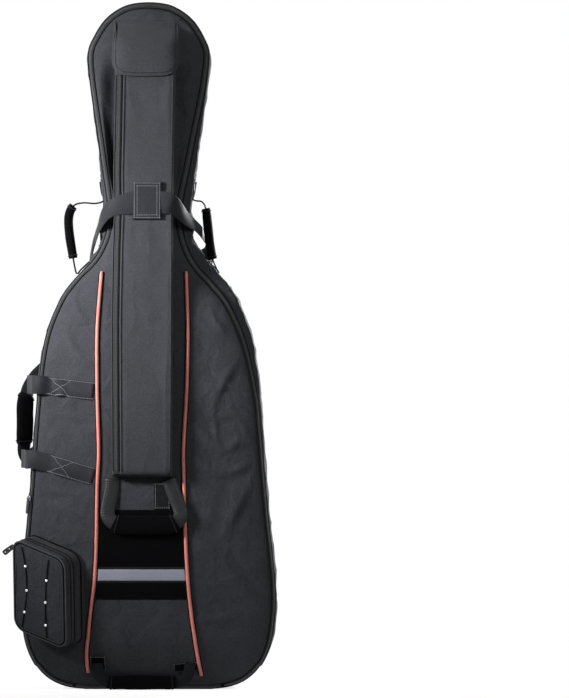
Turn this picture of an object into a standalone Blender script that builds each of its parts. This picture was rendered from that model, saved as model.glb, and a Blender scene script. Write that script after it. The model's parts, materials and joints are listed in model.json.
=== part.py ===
"""Cello gig bag: a padded rear tub, a front cover on a long zip, pockets, handles and shoulder straps.

Metres, +Z up. The bag stands on its flat foot with the front towards -Y.
Tables of points are in millimetres and go through mm().
"""

import math

import bmesh
import bpy
import numpy as np
from mathutils import Vector
from mathutils.bvhtree import BVHTree

# Driving dimensions, in metres
GAP = 0.0004
PADDING = 0.014
SEW_DEPTH = 0.004
WEBBING = 0.0022
ZIP_THICK = 0.003
ZIP_REACH = 0.0063
SEAM_INSET = 0.020
COLUMNS = 12
BOW_POCKET_WALL = 0.003
FLAP_THICK = 0.0045
CORD_RADIUS = 0.0022
RING_WIRE = 0.0021
STUD_RADIUS = 0.0035
STUD_HEIGHT = 0.0016

# Outline of the bag seen from the front: half width and height, mm
OUTLINE = (
    (150, 0), (202, 31), (234, 78), (249, 200), (234, 356), (210, 640), (179, 748),
    (144, 801), (101, 848), (80, 918), (94, 1035), (119, 1222), (107, 1272), (81, 1311), (46, 1334),
)
# Depth of the front and of the back at the middle, against height, m
FRONT = ((0, 0.09, 0.30, 0.56, 0.72, 0.86, 0.98, 1.22, 1.334),
         (0.105, 0.128, 0.138, 0.134, 0.116, 0.088, 0.074, 0.070, 0.046))
BACK = ((0, 0.09, 0.30, 0.56, 0.72, 0.86, 0.98, 1.22, 1.334),
        (0.098, 0.114, 0.124, 0.122, 0.108, 0.084, 0.070, 0.064, 0.042))
# How far the zip lies inside the outline, right side, against height, m
ZIP_INSET = 0.006
ZIP_INSET_RIGHT = ((0.30, 0.56, 0.70, 0.80, 0.87, 0.96, 1.15, 1.25),
                   (0.006, 0.008, 0.020, 0.025, 0.022, 0.020, 0.009, 0.006))

# Bow pocket: height, left edge, right edge and the plane of its face, m
BOW = ((0.417, 0.56, 0.72, 0.86, 0.93, 1.00, 1.20, 1.280),
       (-0.069, -0.070, -0.071, -0.069, -0.0665, -0.070, -0.067, -0.062),
       (0.047, 0.048, 0.0485, 0.049, 0.0480, 0.049, 0.0525, 0.0515),
       (-0.171, -0.167, -0.149, -0.123, -0.112, -0.107, -0.106, -0.101))

FABRIC = (0.055, 0.057, 0.063)
FABRIC_DEEP = (0.012, 0.012, 0.014)
WEB = (0.075, 0.077, 0.083)
CORAL = (0.56, 0.14, 0.10)
SILVER_CLOTH = (0.40, 0.40, 0.46)
STEEL = (0.10, 0.10, 0.11)
STUD = (0.70, 0.70, 0.72)
PLASTIC = (0.015, 0.015, 0.017)
MESH = (0.030, 0.030, 0.034)


def clear_scene():
    for obj in list(bpy.data.objects):
        bpy.data.objects.remove(obj, do_unlink=True)


def new_collection(name):
    made = bpy.data.collections.new(name)
    bpy.context.scene.collection.children.link(made)
    return made


clear_scene()
BAG = new_collection("cello_gig_bag")
CUTTERS = new_collection("cutters")


FORWARD = Vector((0, -1, 0))
BACKWARD = Vector((0, 1, 0))
UP = Vector((0, 0, 1))
RIGHT = Vector((1, 0, 0))


def mm(x, y, z):
    """Point given in millimetres."""
    return Vector((x, y, z)) / 1000


def at(table, z, row=1):
    """Value of a table's row at a height."""
    return float(np.interp(z, table[0], table[row]))


def mix(a, b, t):
    return a + (b - a) * t


def smooth(points, steps, closed=False):
    """Catmull-Rom curve through the points, with so many steps from each to the next."""
    count = len(points)
    found = []
    for k in range(count if closed else count - 1):
        if closed:
            a, b, c, d = (points[(k + n) % count] for n in (-1, 0, 1, 2))
        else:
            a, b, c, d = (points[min(max(k + n, 0), count - 1)] for n in (-1, 0, 1, 2))
        for s in range(steps):
            t = s / steps
            found.append(0.5 * (2 * b + (c - a) * t + (2 * a - 5 * b + 4 * c - d) * t**2
                                + (3 * b - a - 3 * c + d) * t**3))
    if not closed:
        found.append(points[-1].copy())
    return found


def finish(name, colour, roughness, metallic=0.0):
    """Principled material of one piece."""
    material = bpy.data.materials.new(name + "_finish")
    material.use_nodes = True
    shader = material.node_tree.nodes["Principled BSDF"]
    shader.inputs["Base Color"].default_value = (*colour, 1)
    shader.inputs["Roughness"].default_value = roughness
    shader.inputs["Metallic"].default_value = metallic
    material.diffuse_color = (*colour, 1)
    return material


def node(name, points, faces, colour, roughness=0.85, metallic=0.0, pivot=None, cutter=False):
    """Object from points in world space, with its origin on the pivot."""
    pivot = pivot or Vector()
    mesh = bpy.data.meshes.new(name)
    mesh.from_pydata([Vector(p) - pivot for p in points], [], faces)
    shape = bmesh.new()
    shape.from_mesh(mesh)
    bmesh.ops.recalc_face_normals(shape, faces=shape.faces)
    shape.to_mesh(mesh)
    shape.free()
    made = bpy.data.objects.new(name, mesh)
    made.location = pivot
    mesh.materials.append(finish(name, colour, roughness, metallic))
    (CUTTERS if cutter else BAG).objects.link(made)
    if cutter:
        made.hide_render = True
        made.display_type = "WIRE"
    return made


def boundary(rows, columns):
    """Places round the edge of a grid, from the lower left corner to the right."""
    return (
        [(0, j) for j in range(columns + 1)]
        + [(i, columns) for i in range(1, rows + 1)]
        + [(rows, j) for j in range(columns - 1, -1, -1)]
        + [(i, 0) for i in range(rows - 1, 0, -1)]
    )


def grid_faces(rows, columns, start=0):
    """Quads of a grid with rows + 1 by columns + 1 points."""
    wide = columns + 1
    return [
        (start + i * wide + j, start + i * wide + j + 1,
         start + (i + 1) * wide + j + 1, start + (i + 1) * wide + j)
        for i in range(rows)
        for j in range(columns)
    ]


def slab(name, outer, inner, colour, **more):
    """Closed solid between two grids of points that have the same rows and columns."""
    rows = len(outer) - 1
    columns = len(outer[0]) - 1
    wide = columns + 1
    half = (rows + 1) * wide
    points = [p for row in outer for p in row] + [p for row in inner for p in row]
    faces = grid_faces(rows, columns) + grid_faces(rows, columns, half)
    loop = [i * wide + j for i, j in boundary(rows, columns)]
    for a, b in zip(loop, loop[1:] + loop[:1]):
        faces.append((a, b, b + half, a + half))
    return node(name, points, faces, colour, **more)


def sweep(name, points, profile, colour, out=None, side=None, hole=None, closed=False, span=None,
          **more):
    """Profile of (across, out) pairs carried along a path.

    `out` is the direction the profile faces and `side` the one it runs across: one vector, or
    one for each point. `span` keeps only the points from the first to the last number.
    """
    count = len(points)
    first, last = span or (0, count - 1)
    found = []
    rings = [profile] + ([hole] if hole else [])
    for k in range(first, last + 1):
        before = points[(k - 1) % count] if closed or k else points[k]
        after = points[(k + 1) % count] if closed or k < count - 1 else points[k]
        along = (after - before).normalized()
        if side is None:
            across = along.cross(out[k] if isinstance(out, list) else out).normalized()
            face = across.cross(along).normalized()
        else:
            given = side[k] if isinstance(side, list) else side
            face = given.cross(along).normalized()
            across = along.cross(face).normalized()
        for shape in rings:
            found += [points[k] + across * a + face * b for a, b in shape]
    sides = len(profile)
    step = sides * len(rings)
    made = last - first + 1
    quads = []
    for k in range(made if closed else made - 1):
        here = k * step
        there = ((k + 1) % made) * step
        for r in range(len(rings)):
            for s in range(sides):
                t = (s + 1) % sides
                a, b = here + r * sides + s, here + r * sides + t
                c, d = there + r * sides + t, there + r * sides + s
                quads.append((a, b, c, d))
    if not closed:
        for end in (0, (made - 1) * step):
            if hole:
                for s in range(sides):
                    t = (s + 1) % sides
                    quads.append((end + s, end + t, end + sides + t, end + sides + s))
            else:
                quads.append(tuple(end + s for s in range(sides)))
    return node(name, found, quads, colour, **more)


def flat(width, thick, out=0.0):
    """Profile of a webbing, with its middle `out` from the path."""
    a, b = width / 2, thick / 2
    return [(-a, out - b), (a, out - b), (a, out + b), (-a, out + b)]


def oval(width, thick):
    """Eight-sided profile of a padded strap or grip."""
    a, b = width / 2, thick / 2
    r = min(a, b) * 0.6
    return [(-a, -b + r), (-a + r, -b), (a - r, -b), (a, -b + r),
            (a, b - r), (a - r, b), (-a + r, b), (-a, b - r)]


def round_profile(radius, sides=6, phase=0.0):
    turns = [2 * math.pi * k / sides + phase for k in range(sides)]
    return [(radius * math.cos(a), radius * math.sin(a)) for a in turns]


def tree_of(*objects):
    """Surface of the objects as modelled, before any cut, for placing others on it."""
    points, faces = [], []
    for obj in objects:
        start = len(points)
        points += [obj.location + v.co for v in obj.data.vertices]
        faces += [tuple(start + i for i in face.vertices) for face in obj.data.polygons]
    return BVHTree.FromPolygons(points, faces)


def on_front(tree, x, z, lift=0.0):
    """Point of the front surface at (x, z), moved `lift` towards the front."""
    hit = tree.ray_cast(Vector((x, -1, z)), Vector((0, 1, 0)))[0]
    hit = hit or tree.find_nearest(Vector((x, -0.1, z)))[0]
    return Vector((x, hit.y - lift, z))


def on_back(tree, x, z, lift=0.0):
    hit = tree.ray_cast(Vector((x, 1, z)), Vector((0, -1, 0)))[0]
    hit = hit or tree.find_nearest(Vector((x, 0.1, z)))[0]
    return Vector((x, hit.y + lift, z))


def grown(source):
    """Cutter: the same body, larger by the gap left between sewn pieces."""
    made = source.copy()
    made.data = source.data.copy()
    made.name = source.name + "_grown"
    shape = bmesh.new()
    shape.from_mesh(made.data)
    shape.normal_update()
    normals = [v.normal.copy() for v in shape.verts]
    for v, normal in zip(shape.verts, normals):
        v.co += normal * GAP
    shape.to_mesh(made.data)
    shape.free()
    made.hide_render = True
    made.display_type = "WIRE"
    CUTTERS.objects.link(made)
    return made


def cut(obj, *cutters):
    for cutter in cutters:
        step = obj.modifiers.new("cut", "BOOLEAN")
        step.operation = "DIFFERENCE"
        step.solver = "EXACT"
        step.object = cutter
    return obj


def join(obj, *others):
    """Union with helper solids, which go to the cutters."""
    for other in others:
        step = obj.modifiers.new("join", "BOOLEAN")
        step.operation = "UNION"
        step.solver = "EXACT"
        step.object = other
    return obj


# Outline and rings of the padded body
HALF = smooth([Vector((w / 1000, 0, z / 1000)) for w, z in OUTLINE], 2)
ROWS = len(HALF) - 1
LOOP = boundary(ROWS, COLUMNS)


def outline_point(place):
    i, j = place
    u = 2 * j / COLUMNS - 1
    return Vector((HALF[i].x * u, 0, HALF[i].z))


EDGE = [outline_point(place) for place in LOOP]
INWARD = []
for k in range(len(EDGE)):
    run = EDGE[(k + 1) % len(EDGE)] - EDGE[k - 1]
    INWARD.append(Vector((-run.z, 0, run.x)).normalized())


def front_depth(z):
    return at(FRONT, z)


def back_depth(z):
    return at(BACK, z)


def zip_inset(p):
    return at(ZIP_INSET_RIGHT, p.z) if p.x > 0.03 else ZIP_INSET


def ring(inset, depth):
    """Loop round the bag, `inset` within its outline and at `depth` along Y."""
    return [p + n * inset(p) + Vector((0, depth(p), 0)) for p, n in zip(EDGE, INWARD)]


def zip_depth(p):
    return -front_depth(p.z) * (0.70 + 5 * (zip_inset(p) - ZIP_INSET))


ZIP_LINE = ring(zip_inset, zip_depth)
SIDE_FRONT = ring(lambda p: 0, lambda p: -0.62 * front_depth(p.z))
TO_REAR = [(b - a).normalized() for a, b in zip(ZIP_LINE, SIDE_FRONT)]
ZIP_OUT = [(-n * g.y - Vector((0, 1, 0)) * g.dot(-n)).normalized() for n, g in zip(INWARD, TO_REAR)]


def crown(share, z):
    """How much of the full depth the panel reaches at this share of its width and this height."""
    foot = 1 - (1 - min(1, max(0, z / 0.11))) ** 2
    head = 1 - (1 - min(1, max(0, (OUTLINE[-1][1] / 1000 - z) / 0.09))) ** 2
    return (1 - abs(2 * share - 1) ** 2.4) * foot * head


def panel(loop, rise):
    """Grid whose edge is the loop. `rise` gives the full depth to add at a height."""
    edge = dict(zip(LOOP, loop))
    rows = []
    for i in range(ROWS + 1):
        row = []
        for j in range(COLUMNS + 1):
            share = j / COLUMNS
            if (i, j) in edge:
                row.append(edge[i, j])
                continue
            p = mix(edge[i, 0], edge[i, COLUMNS], share)
            p.y += rise(p.z) * crown(share, p.z)
            row.append(p)
        rows.append(row)
    return rows


# Front cover
COVER_EDGE = [p - g * ZIP_REACH for p, g in zip(ZIP_LINE, TO_REAR)]
COVER_INSIDE = [p - m * PADDING for p, m in zip(COVER_EDGE, ZIP_OUT)]
HINGE = mix(ZIP_LINE[0], ZIP_LINE[COLUMNS], 0.5)


def front_rise(z):
    return -0.28 * front_depth(z)


front_cover = slab("front_cover", panel(COVER_EDGE, front_rise), panel(COVER_INSIDE, front_rise),
                   FABRIC, pivot=HINGE)

# Rear tub: back panel and the wide gusset, from the zip to the back
back_edge = ring(lambda p: SEAM_INSET, lambda p: 0.93 * back_depth(p.z))
outer_rings = [
    [p + g * ZIP_REACH for p, g in zip(ZIP_LINE, TO_REAR)],
    SIDE_FRONT,
    ring(lambda p: 0, lambda p: 0.75 * back_depth(p.z)),
    ring(lambda p: 0.005, lambda p: 0.86 * back_depth(p.z)),
]
inside_edge = ring(lambda p: SEAM_INSET + 0.006, lambda p: 0.93 * back_depth(p.z) - PADDING)
inner_rings = [
    [p - m * PADDING for p, m in zip(outer_rings[0], ZIP_OUT)],
    ring(lambda p: PADDING, lambda p: 0.62 * back_depth(p.z)),
]


def back_rise(z):
    return 0.07 * back_depth(z)


def tub(name, outer, outer_edge, inner, inner_edge, rise, colour, **more):
    """Closed solid of two panels with rings round them, joined where the tub is open."""
    points, faces = [], []
    rims = []
    for loops, edge in ((outer, outer_edge), (inner, inner_edge)):
        start = len(points)
        grid = panel(edge, rise)
        points += [p for row in grid for p in row]
        faces += grid_faces(ROWS, COLUMNS, start)
        last = [start + i * (COLUMNS + 1) + j for i, j in LOOP]
        for loop in reversed(loops):
            here = list(range(len(points), len(points) + len(loop)))
            points += loop
            faces += [(a, b, d, c) for a, b, c, d in
                      zip(last, last[1:] + last[:1], here, here[1:] + here[:1])]
            last = here
        rims.append(last)
    a, b = rims
    count = len(a)
    faces += [(a[k], a[(k + 1) % count], b[(k + 1) % count], b[k]) for k in range(count)]
    return node(name, points, faces, colour, **more)


rear_shell = tub("rear_shell", outer_rings, back_edge, inner_rings, inside_edge, back_rise, FABRIC)

# Zip: two chain halves from one lower corner over the head to the other, and the sewn foot between
TURN = list(range(COLUMNS, len(LOOP))) + [0]
ZIP_STOP = 0.005


def zip_middle(n):
    """Middle of the zip at this turn. Both ends stop a little above the foot."""
    p = ZIP_LINE[TURN[n]]
    if n in (0, len(TURN) - 1):
        to = ZIP_LINE[TURN[1 if n == 0 else n - 1]] - p
        return p + to.normalized() * ZIP_STOP
    return p


def zip_half(name, near, far, colour, **more):
    """Tape and teeth between two distances from the middle of the zip, towards the rear."""
    points, quads = [], []
    for n, k in enumerate(TURN):
        for reach, out in ((near, -1), (far, -1), (far, 1), (near, 1)):
            points.append(zip_middle(n) + TO_REAR[k] * reach + ZIP_OUT[k] * out * ZIP_THICK / 2)
    for k in range(len(TURN) - 1):
        for s in range(4):
            t = (s + 1) % 4
            quads.append((4 * k + s, 4 * k + t, 4 * k + 4 + t, 4 * k + 4 + s))
    last = 4 * (len(TURN) - 1)
    quads += [(0, 1, 2, 3), (last, last + 1, last + 2, last + 3)]
    return node(name, points, quads, colour, **more)


zip_half("zip_half_rear", 0.0002, ZIP_REACH - 0.0004, FABRIC_DEEP)
zip_half("zip_half_cover", -0.0002, -ZIP_REACH + 0.0004, FABRIC_DEEP, pivot=HINGE)

foot_tape = []
for x in np.linspace(ZIP_LINE[0].x + 0.003, ZIP_LINE[COLUMNS].x - 0.003, 4):
    foot_tape.append(Vector((x, HINGE.y, HINGE.z)))
sweep("foot_hinge_tape", foot_tape, flat(2 * ZIP_REACH - 0.0012, 0.002), FABRIC, out=ZIP_OUT[COLUMNS // 2])

# Zip slider and pull at the left side, where the photograph shows the pull
front_tree = tree_of(front_cover)
back_tree = tree_of(rear_shell)
cover_cutter = grown(front_cover)
shell_cutter = grown(rear_shell)


def zip_at(z):
    """Middle of the zip on the left side at this height, with its rear and outward directions."""
    for k in range(len(LOOP) - 1, COLUMNS + ROWS, -1):
        a, b = ZIP_LINE[k], ZIP_LINE[k - 1]
        if a.z <= z <= b.z:
            t = (z - a.z) / (b.z - a.z)
            return (mix(a, b, t), mix(TO_REAR[k], TO_REAR[k - 1], t).normalized(),
                    mix(ZIP_OUT[k], ZIP_OUT[k - 1], t).normalized(), (b - a).normalized())
    raise ValueError(z)


def block(name, centre, across, out, along, size, taper, colour, **more):
    """Small body of six faces, narrower at the far end of `along` by `taper`."""
    points = []
    for k, share in ((-0.5, 1.0), (0.5, taper)):
        for a, b in ((-0.5, -0.5), (0.5, -0.5), (0.5, 0.5), (-0.5, 0.5)):
            points.append(centre + across * a * size[0] * share + out * b * size[1]
                          + along * k * size[2])
    faces = [(0, 1, 2, 3), (4, 5, 6, 7)] + [(k, (k + 1) % 4, (k + 1) % 4 + 4, k + 4) for k in range(4)]
    return node(name, points, faces, colour, **more)


SLIDER_Z = 0.372
SLIDER = (0.009, 0.0045, 0.014)
PULL = (0.008, 0.0022, 0.030)
zip_mid, zip_rear, zip_out, zip_up = zip_at(SLIDER_Z)
slider_mid = zip_mid + zip_out * (ZIP_THICK / 2 + GAP + SLIDER[1] / 2)
block("zip_slider", slider_mid, zip_rear, zip_out, zip_up, SLIDER, 0.75, STEEL,
      roughness=0.35, metallic=1.0)
pull_pin = slider_mid + zip_out * (SLIDER[1] / 2 + GAP + PULL[1] / 2)
block("zip_pull", pull_pin - zip_up * PULL[2] / 2, zip_rear, zip_out, -zip_up, PULL, 1.2, PLASTIC,
      roughness=0.4, pivot=pull_pin)


# Pieces sewn flat on the front or the back
def patch(name, cast, tree, corners, proud, edge, colour, cutter=None, steps=(3, 3), low=0.4,
          **more):
    """Flat piece on a surface: corners are (x, z) in mm, from the lower left seen from the front."""
    a, b, c, d = (Vector((x, z)) / 1000 for x, z in corners)
    wide = ((b - a).length + (c - d).length) / 2
    tall = ((d - a).length + (c - b).length) / 2

    def stops(length, count):
        e = min(0.45, edge / length)
        inner = [mix(e, 1 - e, k / count) for k in range(count + 1)]
        return [0] + inner + [1]

    across = stops(wide, steps[0])
    up = stops(tall, steps[1])
    outer, under = [], []
    for v in up:
        top_row, under_row = [], []
        for u in across:
            p = mix(mix(a, b, u), mix(d, c, u), v)
            rim = u in (0, 1) or v in (0, 1)
            top_row.append(cast(tree, p.x, p.y, proud * (low if rim else 1)))
            under_row.append(cast(tree, p.x, p.y, -SEW_DEPTH if cutter else GAP))
        outer.append(top_row)
        under.append(under_row)
    made = slab(name, outer, under, colour, **more)
    return cut(made, cutter) if cutter else made


# Round edge of a pocket: inset and depth behind its face, as shares of the corner radius
ROUND = ((0.0, 1.0), (0.3, 0.3), (1.0, 0.0))
FOOT = None


def dish(name, place, foot, size, radius, wall, middles, colour, open_low=False, open_high=False,
         cutters=(), **more):
    """Pocket wall: a face with rounded edges and sides that reach back to `foot`.

    `place(s, t, back)` gives the point `back` behind the face at shares s across and t along.
    """

    def stops(length, count, low_open, high_open, inward):
        # One list of (share, depth): the foot, the rounding, the face and so on to the other side
        side = [(0, FOOT)] + [(inset * radius / length, depth * radius) for inset, depth in ROUND]
        face = [(mix(radius / length, 1 - radius / length, k / count), 0) for k in range(1, count)]
        low = [(0, 0)] if low_open else side
        high = [(1, 0)] if high_open else [(1 - s, d) for s, d in reversed(side)]
        found = low + face + high
        if inward:
            step = wall / length
            ends = (0 if low_open else step, 0 if high_open else step)
            found = [(ends[0] + s * (1 - sum(ends)), d) for s, d in found]
        return found

    grids = []
    for inward in (False, True):
        across = stops(size[0], middles[0], False, False, inward)
        up = stops(size[1], middles[1], open_low, open_high, inward)
        rows = []
        for t, deep_t in up:
            row = []
            for s, deep_s in across:
                if deep_s is FOOT or deep_t is FOOT:
                    row.append(foot(s, t))
                else:
                    row.append(place(s, t, max(deep_s, deep_t) + (wall if inward else 0)))
            rows.append(row)
        grids.append(rows)
    return cut(slab(name, *grids, colour, **more), *cutters)


# Bow pocket down the middle of the front, open at its top under the flap
BOW_LOW, BOW_HIGH = BOW[0][0], BOW[0][-1]


def bow_face(z):
    return at(BOW, z, 3)


def bow_place(s, t, back):
    z = mix(BOW_LOW, BOW_HIGH, t)
    return Vector((mix(at(BOW, z, 1), at(BOW, z, 2), s), bow_face(z) + back, z))


def bow_foot(s, t):
    p = bow_place(s, t, 0)
    return on_front(front_tree, p.x, p.z, -SEW_DEPTH)


bow_pocket = dish("bow_pocket", bow_place, bow_foot, (0.118, BOW_HIGH - BOW_LOW), 0.010,
                  BOW_POCKET_WALL, (2, 10), FABRIC, open_high=True, cutters=[cover_cutter],
                  pivot=HINGE)

# Zip up the left edge of the bow pocket
bow_tree = tree_of(bow_pocket)
bow_rows = sorted({round((bow_pocket.location + v.co).z, 5) for v in bow_pocket.data.vertices})
bow_zip = []
for z in [BOW_LOW + 0.012] + [z for z in bow_rows if BOW_LOW + 0.02 < z < 1.18] + [1.188]:
    bow_zip.append(on_front(bow_tree, at(BOW, z, 1) + 0.015, z, 0.0013))
sweep("bow_pocket_zip", bow_zip, flat(0.008, 0.0016), FABRIC_DEEP, out=FORWARD, pivot=HINGE)

# Flap over the top of the bow pocket, hinged on the seam above it
FLAP_LOW, FLAP_HIGH = 1.199, 1.3005
FLAP_LEFT, FLAP_RIGHT = -0.0725, 0.0600
FLAP_SIDE = 0.026
FLAP_FREE = FLAP_THICK + 0.0013


def flap_place(s, t, back):
    z = mix(FLAP_LOW, FLAP_HIGH, t)
    narrow = 0.004 * t
    return Vector((mix(FLAP_LEFT + narrow, FLAP_RIGHT - narrow, s), bow_face(z) - FLAP_FREE + back, z))


def flap_foot(s, t):
    if t > 0.9:
        p = flap_place(s, t, 0)
        return on_front(front_tree, p.x, p.z, 0.0012)
    return flap_place(s, t, FLAP_SIDE)


flap_pivot = Vector((0, on_front(front_tree, 0, FLAP_HIGH, 0.0012).y, FLAP_HIGH))
dish("bow_pocket_flap", flap_place, flap_foot, (FLAP_RIGHT - FLAP_LEFT, FLAP_HIGH - FLAP_LOW),
     0.011, FLAP_THICK, (3, 3), FABRIC, open_low=True, pivot=flap_pivot)

# Coral piping down both sides of the front
PIPING_LEFT = ((-90, 812), (-98, 700), (-98, 583), (-95, 466), (-98, 392), (-100, 280), (-104, 209),
               (-112, 146), (-119, 70), (-116, 36))
PIPING_RIGHT = ((73, 812), (77, 700), (75, 583), (69, 470), (70, 400), (73, 300), (77, 220),
                (84, 150), (94, 80), (103, 36))
for name, table in (("piping_left", PIPING_LEFT), ("piping_right", PIPING_RIGHT)):
    cord = smooth([Vector((x / 1000, 0, z / 1000)) for x, z in table], 3)
    cord = [on_front(front_tree, p.x, p.z, CORD_RADIUS * 0.5) for p in cord]
    cut(sweep(name, cord, round_profile(CORD_RADIUS), CORAL, out=FORWARD, pivot=HINGE), cover_cutter)

# Deep black panel between the pipings, with its reflective stripe
black_panel = patch("lower_front_panel", on_front, front_tree,
                    ((-101, 177), (76, 177), (68, 351), (-95, 351)), 0.0022, 0.004, FABRIC_DEEP,
                    cover_cutter, steps=(5, 3), pivot=HINGE)
panel_tree = tree_of(front_cover, black_panel)
patch("reflective_stripe", on_front, panel_tree, ((-98, 213), (73, 213), (71, 236), (-96, 236)),
      0.0016, 0.002, SILVER_CLOTH, steps=(5, 1), low=0.8, roughness=0.4, pivot=HINGE)

# Accessory pocket at the lower left: its upper left front corner and three edges
POCKET_CORNER = mm(-256, -139, 294)
POCKET_ACROSS = mm(82, -31, -34)
POCKET_DOWN = mm(17, 0, -178)
POCKET_BACK = mm(32, 40, 10)
POCKET_SIZE = (POCKET_ACROSS.length, POCKET_DOWN.length)


def pocket_place(s, t, back):
    """Share s from left to right and t from bottom to top."""
    return (POCKET_CORNER + POCKET_ACROSS * s + POCKET_DOWN * (1 - t)
            + POCKET_BACK * (back / POCKET_BACK.length))


def pocket_foot(s, t):
    p = pocket_place(s, t, POCKET_BACK.length)
    hit = front_tree.ray_cast(Vector((p.x, -1, p.z)), Vector((0, 1, 0)))[0]
    return Vector((p.x, hit.y + SEW_DEPTH, p.z)) if hit else p


accessory_pocket = dish("accessory_pocket", pocket_place, pocket_foot, POCKET_SIZE, 0.010, 0.003,
                        (2, 3), FABRIC, cutters=[cover_cutter], pivot=HINGE)

# Zip round three sides of the accessory pocket
ZIP_BACK = 0.021
ZIP_PROUD = 0.0014
pocket_out = POCKET_DOWN.cross(POCKET_ACROSS).normalized()
wall_left = POCKET_DOWN.cross(POCKET_BACK).normalized()
wall_left = wall_left if wall_left.x < 0 else -wall_left
wall_top = POCKET_ACROSS.cross(POCKET_BACK).normalized()
wall_top = wall_top if wall_top.z > 0 else -wall_top
pocket_up = -POCKET_DOWN.normalized()
pocket_zip, pocket_zip_out = [], []
for s, t, outward in (
    (0, 0.25, wall_left), (0, 0.6, wall_left), (0, 0.955, wall_left),
    (0, 1, wall_left + wall_top), (0.08, 1, wall_top), (0.5, 1, wall_top), (0.92, 1, wall_top),
    (1, 1, wall_top - wall_left), (1, 0.955, -wall_left), (1, 0.6, -wall_left), (1, 0.25, -wall_left),
):
    out = outward.normalized()
    reach = ZIP_PROUD * (2.2 if (s, t) in ((0, 1), (1, 1)) else 1)
    pocket_zip.append(pocket_place(s, t, ZIP_BACK) + out * reach)
    pocket_zip_out.append(out)
sweep("accessory_zip", pocket_zip, flat(0.009, 0.0018), FABRIC_DEEP, out=pocket_zip_out, pivot=HINGE)
pull_root = pocket_place(0, 0.88, ZIP_BACK) + wall_left * (ZIP_PROUD + 0.0036)
block("accessory_zip_pull", pull_root - pocket_up * 0.014, pocket_out, wall_left, -pocket_up,
      (0.007, 0.0025, 0.028), 1.3, PLASTIC, roughness=0.4, pivot=pull_root)

# Six studs on the two seams of the accessory pocket
for k, (s, t) in enumerate((s, t) for s in (0.21, 0.66) for t in (0.77, 0.51, 0.25)):
    base = pocket_place(s, t, 0) + pocket_out * GAP
    seat = base + pocket_out * STUD_HEIGHT
    sweep(f"stud_{k + 1}", [base, seat], round_profile(STUD_RADIUS, 8), STUD, out=wall_top,
          roughness=0.25, metallic=1.0, pivot=HINGE)

# Pieces on the back: mesh pad, music pocket with the band over its mouth, strap yoke and lower band
patch("mesh_back_pad", on_back, back_tree, ((-104, 416), (125, 416), (83, 642), (-79, 642)),
      0.010, 0.010, MESH, shell_cutter, steps=(4, 4))
music_pocket = patch("music_pocket", on_back, back_tree,
                     ((-166, 140), (160, 140), (165, 400), (-138, 400)),
                     0.006, 0.007, FABRIC, shell_cutter, steps=(6, 5))
music_tree = tree_of(rear_shell, music_pocket)
patch("music_pocket_band", on_back, music_tree, ((-132, 357), (158, 357), (155, 412), (-128, 412)),
      0.0045, 0.003, FABRIC, steps=(6, 3), low=0.7)
lower_band = patch("lower_band", on_back, back_tree,
                   ((-178, 76), (182, 76), (182, 127), (-178, 127)),
                   0.003, 0.003, WEB, shell_cutter, steps=(8, 1))
patch("strap_yoke", on_back, back_tree, ((-56, 735), (22, 735), (22, 784), (-56, 784)),
      0.0045, 0.004, WEB, shell_cutter, steps=(3, 2))


def lay(tree, places, lift, facing):
    """Points `lift` above a surface over the (x, z) places, and the directions it faces there."""
    points, outs = [], []
    for x, z in places:
        hit, normal = tree.ray_cast(Vector((x, facing.y, z)), -facing)[:2]
        normal = normal if normal.dot(facing) > 0 else -normal
        points.append(hit + normal * lift)
        outs.append(normal)
    return points, outs


def on_side(tree, side, y, z, lift=0.0):
    """Point of the gusset at (y, z), on the left for side -1 or the right for 1."""
    hit = tree.ray_cast(Vector((side, y, z)), Vector((-side, 0, 0)))[0]
    return Vector((hit.x + side * lift, y, z))


def nearest(points, key):
    return min(range(len(points)), key=lambda k: key(points[k]))


def grip(name, points, span, size, strap_width, colour=FABRIC_DEEP, **more):
    """Padded sleeve round part of a strap."""
    hole = oval(strap_width + 0.0012, WEBBING + 0.0012)
    return sweep(name, points, oval(*size), colour, hole=hole, span=span, **more)


# Handles on both sides of the neck, each sewn to the neck and to the shoulder
NECK_STRAP_WIDTH = 0.025
NECK_GRIP = (0.036, 0.013)
LIFT = WEBBING / 2 + GAP
NECK_HANDLES = {
    -1: ((88, 954), (104, 948), (130, 949), (148, 943), (157, 922), (156, 890), (150, 850), (145, 822),
         (141, 810)),
    1: ((86, 956), (93, 953), (104, 951), (111, 938), (115, 905), (119, 870), (125, 838), (132, 821),
        (137, 811)),
}
for side, name in ((-1, "left"), (1, "right")):
    path = [on_side(back_tree, side, 0, 0.990, LIFT), on_side(back_tree, side, 0, 0.968, LIFT)]
    path += [mm(side * x, 0, z) for x, z in NECK_HANDLES[side]]
    path += [on_side(back_tree, side, 0, 0.819, 0.0035), on_side(back_tree, side, 0, 0.834, 0.0026)]
    path = smooth(path, 2)
    pivot = mix(path[2], path[-1], 0.5)
    sweep(f"neck_handle_{name}_strap", path, flat(NECK_STRAP_WIDTH, WEBBING), WEB, side=BACKWARD,
          pivot=pivot)
    high, low = [nearest(path, lambda p: (p - mm(side * x, 0, z)).length)
                 for x, z in (NECK_HANDLES[side][3], NECK_HANDLES[side][6])]
    low += side < 0
    grip(f"neck_handle_{name}_grip", path, (high, low), NECK_GRIP, NECK_STRAP_WIDTH, side=BACKWARD,
         pivot=pivot)

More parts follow.
